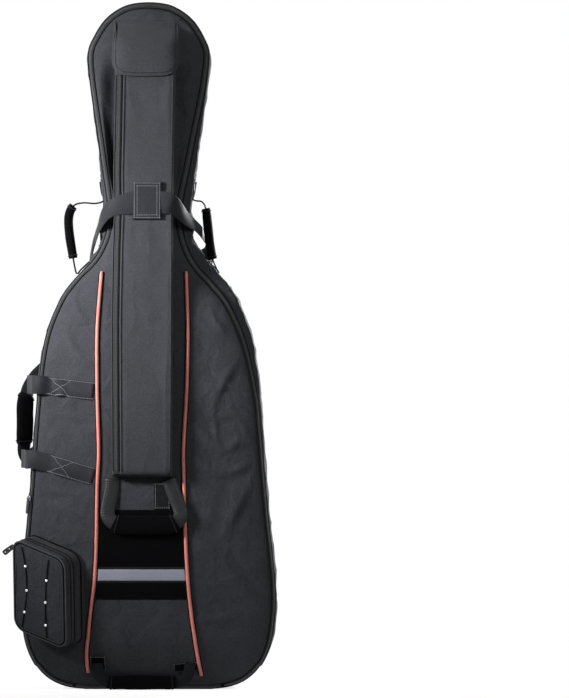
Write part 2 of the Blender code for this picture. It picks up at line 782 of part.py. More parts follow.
# Carry handle across the back of the head
sewn_a = lay(back_tree, ((0.095, 1.222), (0.078, 1.225)), LIFT + 0.0016, BACKWARD)[0]
sewn_b = lay(back_tree, ((-0.079, 1.248), (-0.094, 1.249)), LIFT + 0.0042, BACKWARD)[0]
path = sewn_a
path += [mm(69, 76, 1229), mm(60, 91, 1231), mm(36, 97, 1234), mm(0, 98, 1238), mm(-36, 97, 1243),
         mm(-60, 91, 1245), mm(-69, 76, 1247)]
path = smooth(path + sewn_b, 2)
pivot = Vector((0, (path[2].y + path[-3].y) / 2, 1.237))
sweep("top_handle_strap", path, flat(0.030, WEBBING), WEB, side=UP, pivot=pivot)
grip("top_handle_grip", path, (6, len(path) - 7), (0.042, 0.016), 0.030, side=UP, pivot=pivot)

# Handle at the left side: its strap is sewn to the back, and two webbings reach it from the front
high_sewn, high_out = lay(back_tree, ((-0.152, 0.668), (-0.170, 0.655), (-0.186, 0.643)),
                          LIFT + 0.0008, BACKWARD)
low_sewn, low_out = lay(back_tree, ((-0.196, 0.483), (-0.176, 0.490), (-0.153, 0.498)),
                        LIFT + 0.0008, BACKWARD)
path = high_sewn + [
    mm(-208, 117, 624), mm(-226, 104, 606), mm(-240, 84, 582), mm(-245, 70, 552), mm(-245, 66, 518),
    mm(-246, 68, 486), mm(-247, 80, 460), mm(-238, 99, 450), mm(-219, 116, 462)] + low_sewn
loop_out = [Vector((-0.35, 1, 0)), Vector((-0.5, 1, 0))] + [Vector((-0.6, 1, 0))] * 5 + [
    Vector((-0.5, 1, 0)), Vector((-0.35, 1, 0))]
outs = smooth(high_out + loop_out + low_out, 2)
path = smooth(path, 2)
pivot = mix(high_sewn[2], low_sewn[0], 0.5)
sweep("side_handle_strap", path, flat(0.030, WEBBING), WEB, out=outs, pivot=pivot)
high = nearest(path, lambda p: abs(p.z - 0.570) + abs(p.x + 0.244))
low = nearest(path, lambda p: abs(p.z - 0.478) + abs(p.x + 0.246))
grip("side_handle_grip", path, (high, low), (0.036, 0.015), 0.030, out=outs, pivot=pivot)
for name, z_in, z_out in (("upper", 0.581, 0.5935), ("lower", 0.416, 0.4480)):
    places = [(x, mix(z_in, z_out, (-x - 0.106) / 0.11)) for x in (-0.106, -0.130, -0.155, -0.178)]
    web, web_out = lay(front_tree, places, LIFT + 0.0008, FORWARD)
    edge_x = on_side(back_tree, -1, 0, z_out).x
    web += [Vector((edge_x + 0.006, -0.112, z_out)), Vector((edge_x - 0.007, -0.098, z_out)),
            Vector((edge_x - 0.010, -0.070, z_out)), Vector((edge_x - 0.011, -0.035, z_out)),
            Vector((edge_x - 0.014, 0.000, z_out)), Vector((edge_x - 0.021, 0.035, z_out))]
    web_out += [Vector((-0.5, -0.9, 0)), Vector((-0.9, -0.5, 0))] + [-RIGHT] * 4
    sweep(f"side_handle_front_web_{name}", smooth(web, 2), flat(0.036, WEBBING), WEB,
          out=smooth(web_out, 2), pivot=HINGE)

# Handle hanging below the bow pocket
panel_tree = tree_of(front_cover, black_panel)
path = [on_front(panel_tree, x / 1000, z / 1000, lift / 1000) for x, z, lift in (
    (-68, 412, 2), (-70, 388, 3), (-77, 354, 9), (-76, 337, 12), (-61, 324, 13.5), (-30, 322, 13.5),
    (0, 322, 13.5), (30, 322, 13.5), (50, 324, 13.5), (64, 337, 12.5), (62, 354, 10), (50, 385, 6),
    (41, 411, 3))]
path = smooth(path, 2)
pivot = Vector((0, path[0].y, 0.405))
sweep("front_handle_strap", path, flat(0.026, WEBBING), WEB, out=FORWARD, pivot=pivot)
grip("front_handle_grip", path, (8, 16), (0.032, 0.013), 0.026, out=FORWARD, pivot=pivot)

# Handle at the foot
path = [on_front(front_tree, -0.098, 0.054, LIFT + 0.0016)]
path += [mm(-97, -116, 36), mm(-92, -114, 24), mm(-78, -112, 15.5), mm(-50, -111, 15), mm(-18, -111, 15),
         mm(20, -111, 15), mm(42, -111, 15), mm(64, -112, 17), mm(76, -114, 26), mm(80, -117, 38)]
path.append(on_front(front_tree, 0.082, 0.054, LIFT + 0.0016))
path = smooth(path, 2)
pivot = Vector((0, path[0].y, 0.050))
sweep("foot_handle_strap", path, flat(0.022, WEBBING), WEB, out=FORWARD, pivot=pivot)
grip("foot_handle_grip", path, (7, 14), (0.027, 0.012), 0.022, out=FORWARD, pivot=pivot)


def arc_lengths(points):
    found = [0.0]
    for a, b in zip(points, points[1:]):
        found.append(found[-1] + (b - a).length)
    return found


def thread(base, sides, knots):
    """Path of a strap along a base curve: knots are (distance, height above the curve)."""
    lengths = arc_lengths(base)
    points, across = [], []
    for distance, height in knots:
        k = min(max(int(np.searchsorted(lengths, distance)) - 1, 0), len(base) - 2)
        run = lengths[k + 1] - lengths[k]
        t = (distance - lengths[k]) / run
        along = (base[k + 1] - base[k]).normalized()
        side = mix(sides[k], sides[k + 1], min(1, max(0, t))).normalized()
        out = side.cross(along).normalized()
        points.append(base[k] + along * run * t + out * height)
        across.append(side)
    return points, across


def weave(middle):
    """Knots where a strap passes under, over and under the bars of a slide adjuster."""
    return [(middle + s, h) for s, h in ((-0.0165, -0.0034), (-0.0105, -0.0030), (-0.0030, 0.0032),
                                         (0.0030, 0.0032), (0.0105, -0.0030), (0.0165, -0.0034))]


def adjuster(name, base, sides, middle, width, **more):
    """Flat frame with two slots that a strap is woven through."""
    (centre, ahead), (side, _) = thread(base, sides, [(middle, 0), (middle + 0.001, 0)])
    along = (ahead - centre).normalized()
    out = side.cross(along).normalized()
    bar, reach, thick = 0.0030, 0.0135, 0.0028
    half = width / 2 + 0.0012
    lines = (-reach, -reach + bar, -bar / 2, bar / 2, reach - bar, reach)
    columns = (-half - bar, -half, half, half + bar)
    points, faces = [], []
    for out_by in (-thick / 2, thick / 2):
        for s in lines:
            points += [centre + along * s + side * a + out * out_by for a in columns]
    half_count = len(lines) * len(columns)
    slots = {(1, 1), (3, 1)}
    for i in range(5):
        for j in range(3):
            if (i, j) in slots:
                continue
            a = i * 4 + j
            quad = (a, a + 1, a + 5, a + 4)
            faces += [quad, tuple(v + half_count for v in quad)]
            for k, near in enumerate(((i - 1, j), (i, j + 1), (i + 1, j), (i, j - 1))):
                if near in slots or not (0 <= near[0] < 5 and 0 <= near[1] < 3):
                    p, q = quad[k], quad[(k + 1) % 4]
                    faces.append((p, q, q + half_count, p + half_count))
    return node(name, points, faces, STEEL, roughness=0.35, metallic=0.8, **more)


def loop_end(length, bar=0.0021):
    """Knots of a strap's end turned round a bar and sewn back on itself."""
    reach = bar + WEBBING / 2 + 0.0005
    turn = [(length + reach * math.sin(a), reach * math.cos(a))
            for a in (0, math.pi / 4, math.pi / 2, 3 * math.pi / 4, math.pi)]
    return [(length - 0.016, 0.0014), (length - 0.008, 0.0022)] + turn + [
        (length - 0.008, -0.0026), (length - 0.018, -0.0020)]


HOOK_REACH = 0.046
HOOK_LOOP = 0.0068
HOOK_WIRE = 0.0019
HOOK_SEAT = HOOK_LOOP - HOOK_WIRE - RING_WIRE - 0.0017


def snap_hook(name, eye, end, across, width, **more):
    """Snap hook pulled against the ring wire at `eye`, with the bar that holds its strap on `end`."""
    along = (end - eye).normalized()
    eye = eye + along * HOOK_SEAT
    reach = (end - eye).length
    out = across.cross(along).normalized()
    across = along.cross(out).normalized()
    loop = [eye + across * HOOK_LOOP * math.cos(a) + along * HOOK_LOOP * math.sin(a)
            for a in (2 * math.pi * k / 12 for k in range(12))]
    made = sweep(name, loop, round_profile(HOOK_WIRE), STEEL, out=out, closed=True, roughness=0.3,
                 metallic=1.0, **more)
    half = width / 2 + 0.0032
    eye_low = reach - 0.0095
    frame = [eye + across * a + along * b for a, b in (
        (-half, eye_low), (half, eye_low), (half, reach), (-half, reach))]
    bars = sweep(name + "_frame", frame, round_profile(0.0021), STEEL, out=out, closed=True,
                 cutter=True)
    stem = sweep(name + "_stem", [eye + along * (HOOK_LOOP + 0.0005), eye + along * 0.014,
                                  eye + along * (eye_low + 0.0005)],
                 round_profile(0.0036, 8, 0.13), STEEL, out=out, cutter=True)
    return join(made, stem, bars)


D_HALF = 0.0165
D_BOW = 0.0205


def d_ring(name, centre, across, bow, **more):
    """Straight bar through `centre` with a bow on one side."""
    across, bow = across.normalized(), bow.normalized()
    points = [centre - across * D_HALF * 0.9, centre + across * D_HALF * 0.9]
    for k in range(1, 10):
        a = math.pi * (k - 0.5) / 9
        points.append(centre + across * D_HALF * math.cos(a) + bow * (0.003 + D_BOW * math.sin(a)))
    return sweep(name, points, round_profile(RING_WIRE), STEEL, out=across.cross(bow), closed=True,
                 roughness=0.3, metallic=1.0, pivot=centre, **more)


def ring_tab(owner, bar, down, out, size):
    """Sewn tab over the bar of a D-ring, as part of the strap that it is sewn to."""
    tab = block(owner.name + "_tab", bar + down * (size[2] / 2 - 0.0045), RIGHT, out, down, size,
                1.0, WEB, cutter=True)
    reach = RIGHT * 0.03
    bore = sweep(owner.name + "_bore", [bar - reach, bar + reach],
                 round_profile(RING_WIRE + 0.0006, 8), WEB, out=out, cutter=True)
    cut(join(owner, tab), bore)


# Shoulder straps: padded part, reflective patch, adjustable webbing, hook and rings
PAD = (0.046, 0.011)
PAD_PATHS = {
    "right": ((25, 770, 6.6), (45, 768, 7), (66, 755, 8), (81, 730, 11), (94, 690, 15), (105, 640, 19),
             (113, 575, 20), (127, 505, 20), (141, 455, 20), (154, 414, 19)),
    "left": ((-63, 764, 6.6), (-74, 759, 7), (-87, 744, 8), (-96, 716, 11), (-102, 680, 15), (-107, 640, 19),
              (-112, 575, 20), (-120, 495, 20), (-133, 430, 20), (-148, 372, 19)),
}
WEB_PATHS = {
    "right": ((155, 404, 19), (163, 365, 18), (172, 320, 17), (186, 262, 16), (199, 205, 17),
             (210, 150, 18), (216, 118, 19), (214, 106, 20)),
    "left": ((-150, 362, 18), (-160, 330, 17), (-174, 290, 16), (-188, 235, 16), (-202, 180, 17),
              (-213, 138, 18), (-217, 112, 19), (-214, 101, 20)),
}
REFLECTOR = {"right": (0.603, 0.521, -0.005), "left": (0.585, 0.505, 0.005)}
ADJUSTER_AT = {"right": 0.150, "left": 0.098}
LOW_RING = {"right": (0.158, 0.132), "left": (-0.160, 0.131)}
HIGH_RING = {"right": (0.0865, 0.738), "left": (-0.1000, 0.710)}
HOOK_ANGLE = math.radians(50)
STRAP_WIDTH = 0.024

high_eyes = {}
for name in ("left", "right"):
    turn = -1 if name == "left" else 1
    path = [on_back(back_tree, x / 1000, z / 1000, lift / 1000) for x, z, lift in PAD_PATHS[name]]
    path = smooth(path, 2)
    outs = lay(back_tree, [(p.x, p.z) for p in path], 0, BACKWARD)[1]
    outs = [mix(a, BACKWARD, min(1, k / 8)) for k, a in enumerate(outs)]
    pivot = Vector((path[0].x, path[0].y, 0.776))
    pad = sweep(f"shoulder_pad_{name}", path, oval(*PAD), FABRIC, out=outs, pivot=pivot)
    top, low, shift = REFLECTOR[name]
    first = nearest(path, lambda p: abs(p.z - top))
    last = nearest(path, lambda p: abs(p.z - low))
    strip = [(a + shift, b) for a, b in flat(0.026, 0.0012, PAD[1] / 2 + 0.0012)]
    sweep(f"reflector_{name}", path, strip, SILVER_CLOTH, out=outs, span=(first, last), roughness=0.4,
          pivot=pivot)
    # Ring for the neck strap's hook, on a tab sewn to the pad
    x, z = HIGH_RING[name]
    k = nearest(path, lambda p: abs(p.z - z))
    along = (path[k - 1] - path[k + 1]).normalized()
    bar = Vector((x, path[k].y + PAD[1] / 2 + 0.0036, z))
    ring_tab(pad, bar, -UP, BACKWARD, (0.016, 0.0090, 0.012))
    high_bow = Vector((0, 0.72, 0.70)).normalized()
    d_ring(f"high_ring_{name}", bar, RIGHT, high_bow)
    a = math.radians(70)
    high_eyes[name] = bar + RIGHT * turn * D_HALF * math.cos(a) + high_bow * (0.003 + D_BOW * math.sin(a))

    # Adjustable webbing from the pad to the foot, with its slide adjuster
    base = [on_back(back_tree, x / 1000, z / 1000, lift / 1000) for x, z, lift in WEB_PATHS[name]]
    base = smooth(base, 3)
    total = arc_lengths(base)[-1]
    sides = []
    for k, distance in enumerate(arc_lengths(base)):
        twist = min(1, max(0, (distance / total - 0.62) / 0.22)) * math.pi / 2
        along = (base[min(k + 1, len(base) - 1)] - base[max(k - 1, 0)]).normalized()
        flat_side = along.cross(BACKWARD).normalized()
        sides.append(flat_side * math.cos(twist) + BACKWARD * math.sin(twist) * turn)
    middle = ADJUSTER_AT[name]
    free = [(d, 0) for d in np.linspace(0, middle - 0.03, 5)]
    free += weave(middle) + [(d, 0) for d in np.linspace(middle + 0.03, total - 0.034, 8)]
    web, across = thread(base, sides, free + loop_end(total))
    sweep(f"strap_web_{name}", web, flat(STRAP_WIDTH, WEBBING), WEB, side=across, pivot=pivot)
    slider = thread(base, sides, [(middle, 0)])[0][0]
    adjuster(f"strap_adjuster_{name}", base, sides, middle, STRAP_WIDTH, pivot=slider)

    # Ring on the lower band, and the hook that joins the strap to it
    x, z = LOW_RING[name]
    bar = on_back(back_tree, x, z, 0.0072)
    ring_tab(lower_band, bar, -UP, BACKWARD, (0.016, 0.0095, 0.0135))
    bow = Vector((0, 0.42, -0.90)).normalized()
    d_ring(f"low_ring_{name}", bar, RIGHT, bow)
    eye = (bar + RIGHT * turn * D_HALF * math.cos(HOOK_ANGLE)
           + bow * (0.003 + D_BOW * math.sin(HOOK_ANGLE)))
    snap_hook(f"low_hook_{name}", eye, base[-1], BACKWARD, STRAP_WIDTH, pivot=pivot)


# Stabilising strap: sewn to the bow pocket, round both sides of the neck and hooked to the high rings
eye_left, eye_right = high_eyes["left"], high_eyes["right"]
end_left = eye_left + Vector((-0.10, 0.0, 0.995)).normalized() * HOOK_REACH
axis_right = Vector((0.18, 0.0, 0.984))
end_right = eye_right + axis_right.normalized() * HOOK_REACH
front_places = ((-62, 940), (-40, 945), (-20, 949), (0, 951), (20, 949), (42, 944))
across_front = [on_front(bow_tree, x / 1000, z / 1000, LIFT + 0.0045) for x, z in front_places]
knots = [(end_left, -RIGHT), (end_left + mm(-2, -2, 18), -RIGHT), (mm(-117, 124, 806), -RIGHT),
         (mm(-120, 96, 832), -RIGHT), (mm(-116, 56, 860), -RIGHT), (mm(-110, 16, 878), -RIGHT),
         (mm(-103, -30, 896), -RIGHT), (mm(-94, -70, 914), Vector((-0.9, -0.4, 0))),
         (mm(-80, -100, 930), Vector((-0.6, -0.8, 0)))]
knots += [(p, FORWARD) for p in across_front]
knots += [(mm(58, -102, 934), Vector((0.6, -0.8, 0))), (mm(73, -80, 918), Vector((0.9, -0.4, 0))),
          (mm(91, -45, 904), RIGHT), (mm(101, -8, 894), RIGHT), (mm(107, 30, 886), RIGHT),
          (mm(110, 68, 882), RIGHT)]
knots += [(end_right + axis_right * reach, RIGHT) for reach in (0.080, 0.060, 0.040, 0.020, 0)]
base = smooth([p for p, _ in knots], 2)
outs = smooth([o for _, o in knots], 2)
sides = []
for k in range(len(base)):
    along = (base[min(k + 1, len(base) - 1)] - base[max(k - 1, 0)]).normalized()
    sides.append(along.cross(outs[k]).normalized())
lengths = arc_lengths(base)
total = lengths[-1]
turned = loop_end(total)
start = [(total - d, h) for d, h in reversed(turned)]
adjust = total - 0.0405
middle = [(d, 0) for d in lengths if 0.034 < d < adjust - 0.022] + weave(adjust)
web, across = thread(base, sides, start + middle + turned)
neck_strap = sweep("neck_strap", web, flat(STRAP_WIDTH, WEBBING), WEB, side=across, pivot=HINGE)
low_point, high_point = (on_front(bow_tree, -0.002, z, 0.0030) for z in (0.918, 0.984))
patch_up = (high_point - low_point).normalized()
join(neck_strap, block("neck_strap_patch", mix(low_point, high_point, 0.5), RIGHT,
                       RIGHT.cross(patch_up), patch_up, (0.054, 0.0044, 0.062), 1.0, WEB, cutter=True))
adjuster("neck_strap_adjuster", base, sides, adjust, STRAP_WIDTH, pivot=HINGE)
snap_hook("neck_hook_left", eye_left, end_left, BACKWARD, STRAP_WIDTH, pivot=HINGE)
snap_hook("neck_hook_right", eye_right, end_right, BACKWARD, STRAP_WIDTH, pivot=HINGE)
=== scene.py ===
"""Cello gig bag: the finished look of the padded bag, its pockets, handles and straps.

Metres, +Z up, front towards -Y. Tables of places are in millimetres and go through mm().
"""

import json
import logging
import math
from dataclasses import dataclass, field
from enum import Enum

import bmesh
import bpy
import numpy as np
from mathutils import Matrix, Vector
from mathutils.bvhtree import BVHTree

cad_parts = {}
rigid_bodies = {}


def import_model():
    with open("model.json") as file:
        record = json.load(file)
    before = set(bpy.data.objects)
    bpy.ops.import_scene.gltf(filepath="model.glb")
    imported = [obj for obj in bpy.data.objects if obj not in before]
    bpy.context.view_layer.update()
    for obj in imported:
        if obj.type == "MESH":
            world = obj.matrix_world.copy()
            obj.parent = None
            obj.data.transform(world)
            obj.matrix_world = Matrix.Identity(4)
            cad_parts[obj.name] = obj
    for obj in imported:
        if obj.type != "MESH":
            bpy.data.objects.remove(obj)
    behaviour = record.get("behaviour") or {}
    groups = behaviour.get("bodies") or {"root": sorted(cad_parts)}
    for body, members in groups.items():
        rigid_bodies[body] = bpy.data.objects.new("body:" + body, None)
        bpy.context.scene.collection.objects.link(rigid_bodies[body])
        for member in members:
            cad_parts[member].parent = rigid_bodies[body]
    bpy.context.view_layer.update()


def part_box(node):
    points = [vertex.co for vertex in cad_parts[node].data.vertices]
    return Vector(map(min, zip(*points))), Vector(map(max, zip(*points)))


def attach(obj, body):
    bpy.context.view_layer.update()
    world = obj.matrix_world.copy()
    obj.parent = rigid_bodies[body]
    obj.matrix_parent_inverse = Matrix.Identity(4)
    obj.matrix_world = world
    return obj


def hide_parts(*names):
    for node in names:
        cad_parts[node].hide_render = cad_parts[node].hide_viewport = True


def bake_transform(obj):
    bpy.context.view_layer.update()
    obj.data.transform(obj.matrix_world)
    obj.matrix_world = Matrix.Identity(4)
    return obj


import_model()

logging.basicConfig(level=logging.INFO, format="%(message)s")
log = logging.getLogger("cello_gig_bag")

Array = np.ndarray
X = np.array([1.0, 0.0, 0.0])
Y = np.array([0.0, 1.0, 0.0])
Z = np.array([0.0, 0.0, 1.0])


# Plain sums on points


def mm(*values: float) -> Array:
    """Millimetres as metres."""
    return np.array(values, float) / 1000


def unit(v: Array) -> Array:
    """Vectors of length one."""
    v = np.asarray(v, float)
    return v / np.maximum(np.linalg.norm(v, axis=-1, keepdims=True), 1e-12)


def ramp(x: Array, low: float, high: float) -> Array:
    """Smooth rise from 0 at `low` to 1 at `high`."""
    t = np.clip((np.asarray(x, float) - low) / (high - low), 0, 1)
    return t * t * (3 - 2 * t)


def bell(x: Array, middle: float, reach: float) -> Array:
    """Bump of height 1 at `middle` that dies away over `reach`."""
    return np.exp(-(((np.asarray(x, float) - middle) / reach) ** 2))


def arc(points: Array) -> Array:
    """Distance along a path at each of its points."""
    return np.concatenate([[0.0], np.cumsum(np.linalg.norm(np.diff(points, axis=0), axis=1))])


def curve(points: Array, steps: int, closed: bool = False) -> Array:
    """Catmull-Rom curve through points.

    Args:
        points: the points to pass through, one row each.
        steps: how many steps from each point to the next.
        closed: whether the last point joins the first.

    Returns:
        The points of the curve.
    """
    p = np.asarray(points, float)
    n = len(p)
    k = np.arange(n if closed else n - 1)
    pick = (lambda i: p[i % n]) if closed else (lambda i: p[np.clip(i, 0, n - 1)])
    a, b, c, d = pick(k - 1), pick(k), pick(k + 1), pick(k + 2)
    t = (np.arange(steps) / steps)[None, :, None]
    a, b, c, d = (q[:, None, :] for q in (a, b, c, d))
    found = 0.5 * (2 * b + (c - a) * t + (2 * a - 5 * b + 4 * c - d) * t**2
                   + (3 * b - a - 3 * c + d) * t**3)
    found = found.reshape(-1, p.shape[1])
    return found if closed else np.vstack([found, p[-1]])


def even(points: Array, spacing: float, *others: Array) -> tuple[Array, ...]:
    """Path laid out again at even distances.

    Args:
        points: the path.
        spacing: the distance wanted between points.
        others: vectors given for each point of the path, laid out the same way.

    Returns:
        The path, then each of the others.
    """
    length = arc(points)
    count = max(2, round(length[-1] / spacing) + 1)
    at = np.linspace(0, length[-1], count)
    return tuple(
        np.stack([np.interp(at, length, q[:, i]) for i in range(q.shape[1])], 1)
        for q in (points, *others)
    )


def lattice(p: Array, seed: int) -> Array:
    """Smooth noise from -1 to 1 at points, the same on every run."""
    p = np.asarray(p, float)
    cell = np.floor(p).astype(np.int64)
    f = p - cell
    f = f**3 * (f * (f * 6 - 15) + 10)
    total = np.zeros(p.shape[:-1])
    for corner in range(8):
        step = np.array([corner & 1, corner >> 1 & 1, corner >> 2 & 1])
        q = cell + step
        n = (q[..., 0] * 374761393 + q[..., 1] * 668265263 + q[..., 2] * 1274126177
             + seed * 974634777) & 0xFFFFFFFF
        n = ((n ^ (n >> 13)) * 1274126177) & 0xFFFFFFFF
        n = (n ^ (n >> 16)) & 0xFFFFFFFF
        weight = np.prod(np.where(step == 1, f, 1 - f), axis=-1)
        total += weight * (n / 2**31 - 1)
    return total


def creases(p: Array, sizes: tuple[float, float, float], seed: int) -> Array:
    """Folds of cloth: rounded ridges with sharper valleys, about -1 to 1.

    Args:
        p: points in metres.
        sizes: length of a fold along X, Y and Z, in metres.
        seed: which pattern.

    Returns:
        The height of the fold at each point.
    """
    q = np.asarray(p, float) / np.array(sizes)
    bend = np.stack([lattice(q * 0.6 + 7, seed + 1), lattice(q * 0.6 + 3, seed + 2),
                     lattice(q * 0.6 + 11, seed + 3)], -1)
    first = 1 - 2 * np.abs(lattice(q + 0.7 * bend, seed)) ** 0.8
    second = lattice(q * 2.1 + 0.5 * bend, seed + 5)
    return 0.75 * first - 0.25 + 0.3 * second


def averaged(loop: Array, values: Array, reach: float | Array) -> Array:
    """Values round a closed loop, each averaged with its neighbours.

    Args:
        loop: the points of the loop.
        values: one row for each point.
        reach: how far the average reaches, in metres, one number or one for each point.

    Returns:
        The averaged values.
    """
    step = np.linalg.norm(np.roll(loop, -1, 0) - loop, axis=1)
    at = np.concatenate([[0.0], np.cumsum(step)[:-1]])
    gap = np.abs(at[:, None] - at[None])
    gap = np.minimum(gap, step.sum() - gap)
    reach = np.broadcast_to(reach, len(loop))[:, None]
    weight = np.exp(-((gap / reach) ** 2)) * (step + np.roll(step, 1))[None]
    return weight @ values / weight.sum(axis=1, keepdims=True)


def folds(p: Array, lines: tuple) -> Array:
    """Height of soft folds at points.

    Args:
        p: points in metres.
        lines: (x1, z1, x2, z2, reach, height) of each fold's ridge, in mm.

    Returns:
        The height at each point, in metres.
    """
    total = np.zeros(p.shape[:-1])
    for x1, z1, x2, z2, reach, height in lines:
        a, b = np.array([x1, z1]) / 1000, np.array([x2, z2]) / 1000
        q = p[..., [0, 2]] - a
        run = b - a
        length = float(np.linalg.norm(run))
        t = np.clip((q @ run) / length**2, 0, 1)
        bend = 0.004 * np.sin(math.pi * t)
        side = (q[..., 0] * run[1] - q[..., 1] * run[0]) / length - bend
        past = np.linalg.norm(q - t[..., None] * run, axis=-1)
        away = np.where((t > 0) & (t < 1), np.abs(side), past)
        width = 0.72 * reach / 1000
        # One side of a fold falls off more steeply than the other
        ridge = np.exp(-((away / width) ** 2) * np.where(side > 0, 1.4, 4.0))
        ease = np.sin(math.pi * np.clip(0.12 + 0.76 * t, 0, 1))
        total += height / 1000 * ridge * ease
    return total


def table_at(table: tuple[tuple[float, ...], ...], z: Array, row: int = 1) -> Array:
    """A table's row at heights."""
    return np.interp(z, table[0], table[row])


# Materials


def linear(colour: str) -> tuple[float, float, float, float]:
    """sRGB hex as linear red, green, blue and alpha."""
    found = []
    for k in (1, 3, 5):
        c = int(colour[k:k + 2], 16) / 255
        found.append(c / 12.92 if c <= 0.04045 else ((c + 0.055) / 1.055) ** 2.4)
    return (*found, 1.0)


def add(tree: bpy.types.NodeTree, kind: str, settings: dict | None = None,
        links: dict | None = None, **own: object) -> bpy.types.Node:
    """Adds a node.

    Args:
        tree: the node tree.
        kind: the node's type.
        settings: values of inputs, by name or number.
        links: outputs that go into inputs, by name or number.
        own: the node's own settings.

    Returns:
        The node.
    """
    made = tree.nodes.new(kind)
    for key, value in own.items():
        setattr(made, key, value)
    for key, value in (settings or {}).items():
        made.inputs[key].default_value = value
    for key, socket in (links or {}).items():
        tree.links.new(socket, made.inputs[key])
    return made


class Pattern(Enum):
    """What the surface of a cloth is made of."""

    WEAVE = "plain weave"
    RIBS = "ribbed webbing"
    PLAIN = "coated"


@dataclass(frozen=True)
class Finish:
    """What every finish has: a name, and a colour as sRGB hex."""

    name: str
    colour: str

    def material(self) -> bpy.types.Material:
        """The material, made once and kept under its name."""
        made = bpy.data.materials.get(self.name)
        if made is None:
            made = bpy.data.materials.new(self.name)
            made.use_nodes = True
            made.diffuse_color = linear(self.colour)
            self.wire(made.node_tree, made.node_tree.nodes["Principled BSDF"])
        return made

    def wire(self, tree: bpy.types.NodeTree, shader: bpy.types.Node) -> None:
        """Sets up the nodes of the finish."""
        raise NotImplementedError

    def ramped(self, tree: bpy.types.NodeTree, shader: bpy.types.Node, factor: bpy.types.NodeSocket,
               shades: tuple, stops: tuple = (0.0, 1.0)) -> None:
        """Base colour between two shades of the finish's colour, by a factor."""
        tone = add(tree, "ShaderNodeValToRGB", None, {"Fac": factor})
        for element, shade, stop in zip(tone.color_ramp.elements, shades, stops):
            element.position = stop
            element.color = (*(k * shade for k in linear(self.colour)[:3]), 1)
        tree.links.new(tone.outputs["Color"], shader.inputs["Base Color"])


@dataclass(frozen=True)
class ClothFinish(Finish):
    """Woven or coated cloth.

    Nylon threads are matt with a soft sheen at a grazing angle, and the dye varies a little.
    """

    pattern: Pattern = Pattern.WEAVE
    roughness: float = 0.78
    pitch: float = 0.0022
    depth: float = 0.00035
    mottle: float = 0.16
    wrinkle: float = 0.0
    sheen: float = 0.05
    specular: float = 0.09

    def wire(self, tree: bpy.types.NodeTree, shader: bpy.types.Node) -> None:
        """Dye and wear in the colour, wrinkles and the weave in the normal."""
        for label, value in (("Roughness", self.roughness), ("Sheen Weight", self.sheen),
                             ("Sheen Roughness", 0.5), ("Specular IOR Level", self.specular)):
            shader.inputs[label].default_value = value
        place = add(tree, "ShaderNodeTexCoord")
        # Dye and wear: clouds of about 90 mm and 12 mm
        cloud = add(tree, "ShaderNodeTexNoise", {"Scale": 11.0, "Detail": 3.0},
                    {"Vector": place.outputs["Object"]})
        grain = add(tree, "ShaderNodeTexNoise", {"Scale": 420.0, "Detail": 2.0},
                    {"Vector": place.outputs["Object"]})
        blend = add(tree, "ShaderNodeMix", {"Factor": 0.72},
                    {2: cloud.outputs["Fac"], 3: grain.outputs["Fac"]}, data_type="FLOAT")
        shades = (1 - self.mottle * 2, 1 + self.mottle * 2)
        self.ramped(tree, shader, blend.outputs[0], shades, (0.30, 0.70))
        normal = None
        if self.wrinkle:
            soft = add(tree, "ShaderNodeTexNoise", {"Scale": 26.0, "Detail": 4.0, "Distortion": 0.6},
                       {"Vector": place.outputs["Object"]})
            normal = add(tree, "ShaderNodeBump", {"Strength": 1.0, "Distance": self.wrinkle},
                         {"Height": soft.outputs["Fac"]})
        if self.pattern is not Pattern.PLAIN:
            split = add(tree, "ShaderNodeSeparateXYZ", None, {0: place.outputs["UV"]})
            waves = []
            for axis in ("X", "Y"):
                turn = add(tree, "ShaderNodeMath", {1: 2 * math.pi / self.pitch},
                           {0: split.outputs[axis]}, operation="MULTIPLY")
                waves.append(add(tree, "ShaderNodeMath", None, {0: turn.outputs[0]},
                                 operation="SINE").outputs[0])
            if self.pattern is Pattern.WEAVE:
                height = add(tree, "ShaderNodeMath", None, {0: waves[0], 1: waves[1]},
                             operation="MULTIPLY").outputs[0]
            else:
                height = add(tree, "ShaderNodeMath", {1: 0.35}, {0: waves[0], 2: waves[1]},
                             operation="MULTIPLY_ADD").outputs[0]
            links = {"Height": height}
            if normal:
                links["Normal"] = normal.outputs["Normal"]
            normal = add(tree, "ShaderNodeBump", {"Strength": 0.8, "Distance": self.depth}, links)
        if normal:
            tree.links.new(normal.outputs["Normal"], shader.inputs["Normal"])


@dataclass(frozen=True)
class HardFinish(Finish):
    """Metal or moulded plastic, with fine wear in its gloss."""

    metallic: float
    roughness: float
    scratch: float = 0.08

    def wire(self, tree: bpy.types.NodeTree, shader: bpy.types.Node) -> None:
        """Fine wear in the gloss and in the tone."""
        shader.inputs["Metallic"].default_value = self.metallic
        place = add(tree, "ShaderNodeTexCoord")
        wear = add(tree, "ShaderNodeTexNoise", {"Scale": 900.0, "Detail": 3.0},
                   {"Vector": place.outputs["Object"]})
        gloss = add(tree, "ShaderNodeMapRange", {"To Min": self.roughness - self.scratch,
                                                  "To Max": self.roughness + self.scratch},
                    {"Value": wear.outputs["Fac"]})
        tree.links.new(gloss.outputs[0], shader.inputs["Roughness"])
        self.ramped(tree, shader, wear.outputs["Fac"], (0.86, 1.0))


# Charcoal 600-denier nylon, woven: its 0.5 mm threads are drawn 2.2 mm wide, or they wouldn't show
NYLON = ClothFinish("charcoal_nylon_weave", "#3f4045", mottle=0.13, wrinkle=0.0075)
NYLON_PLAIN = ClothFinish("charcoal_nylon_stretched", "#404145", mottle=0.13, wrinkle=0.0030)
# Deep black nylon of the lower panel and the grips, which hardly returns any light
BLACK = ClothFinish("black_nylon_weave", "#08080a", roughness=0.85, mottle=0.08, sheen=0.01,
                    specular=0.04)
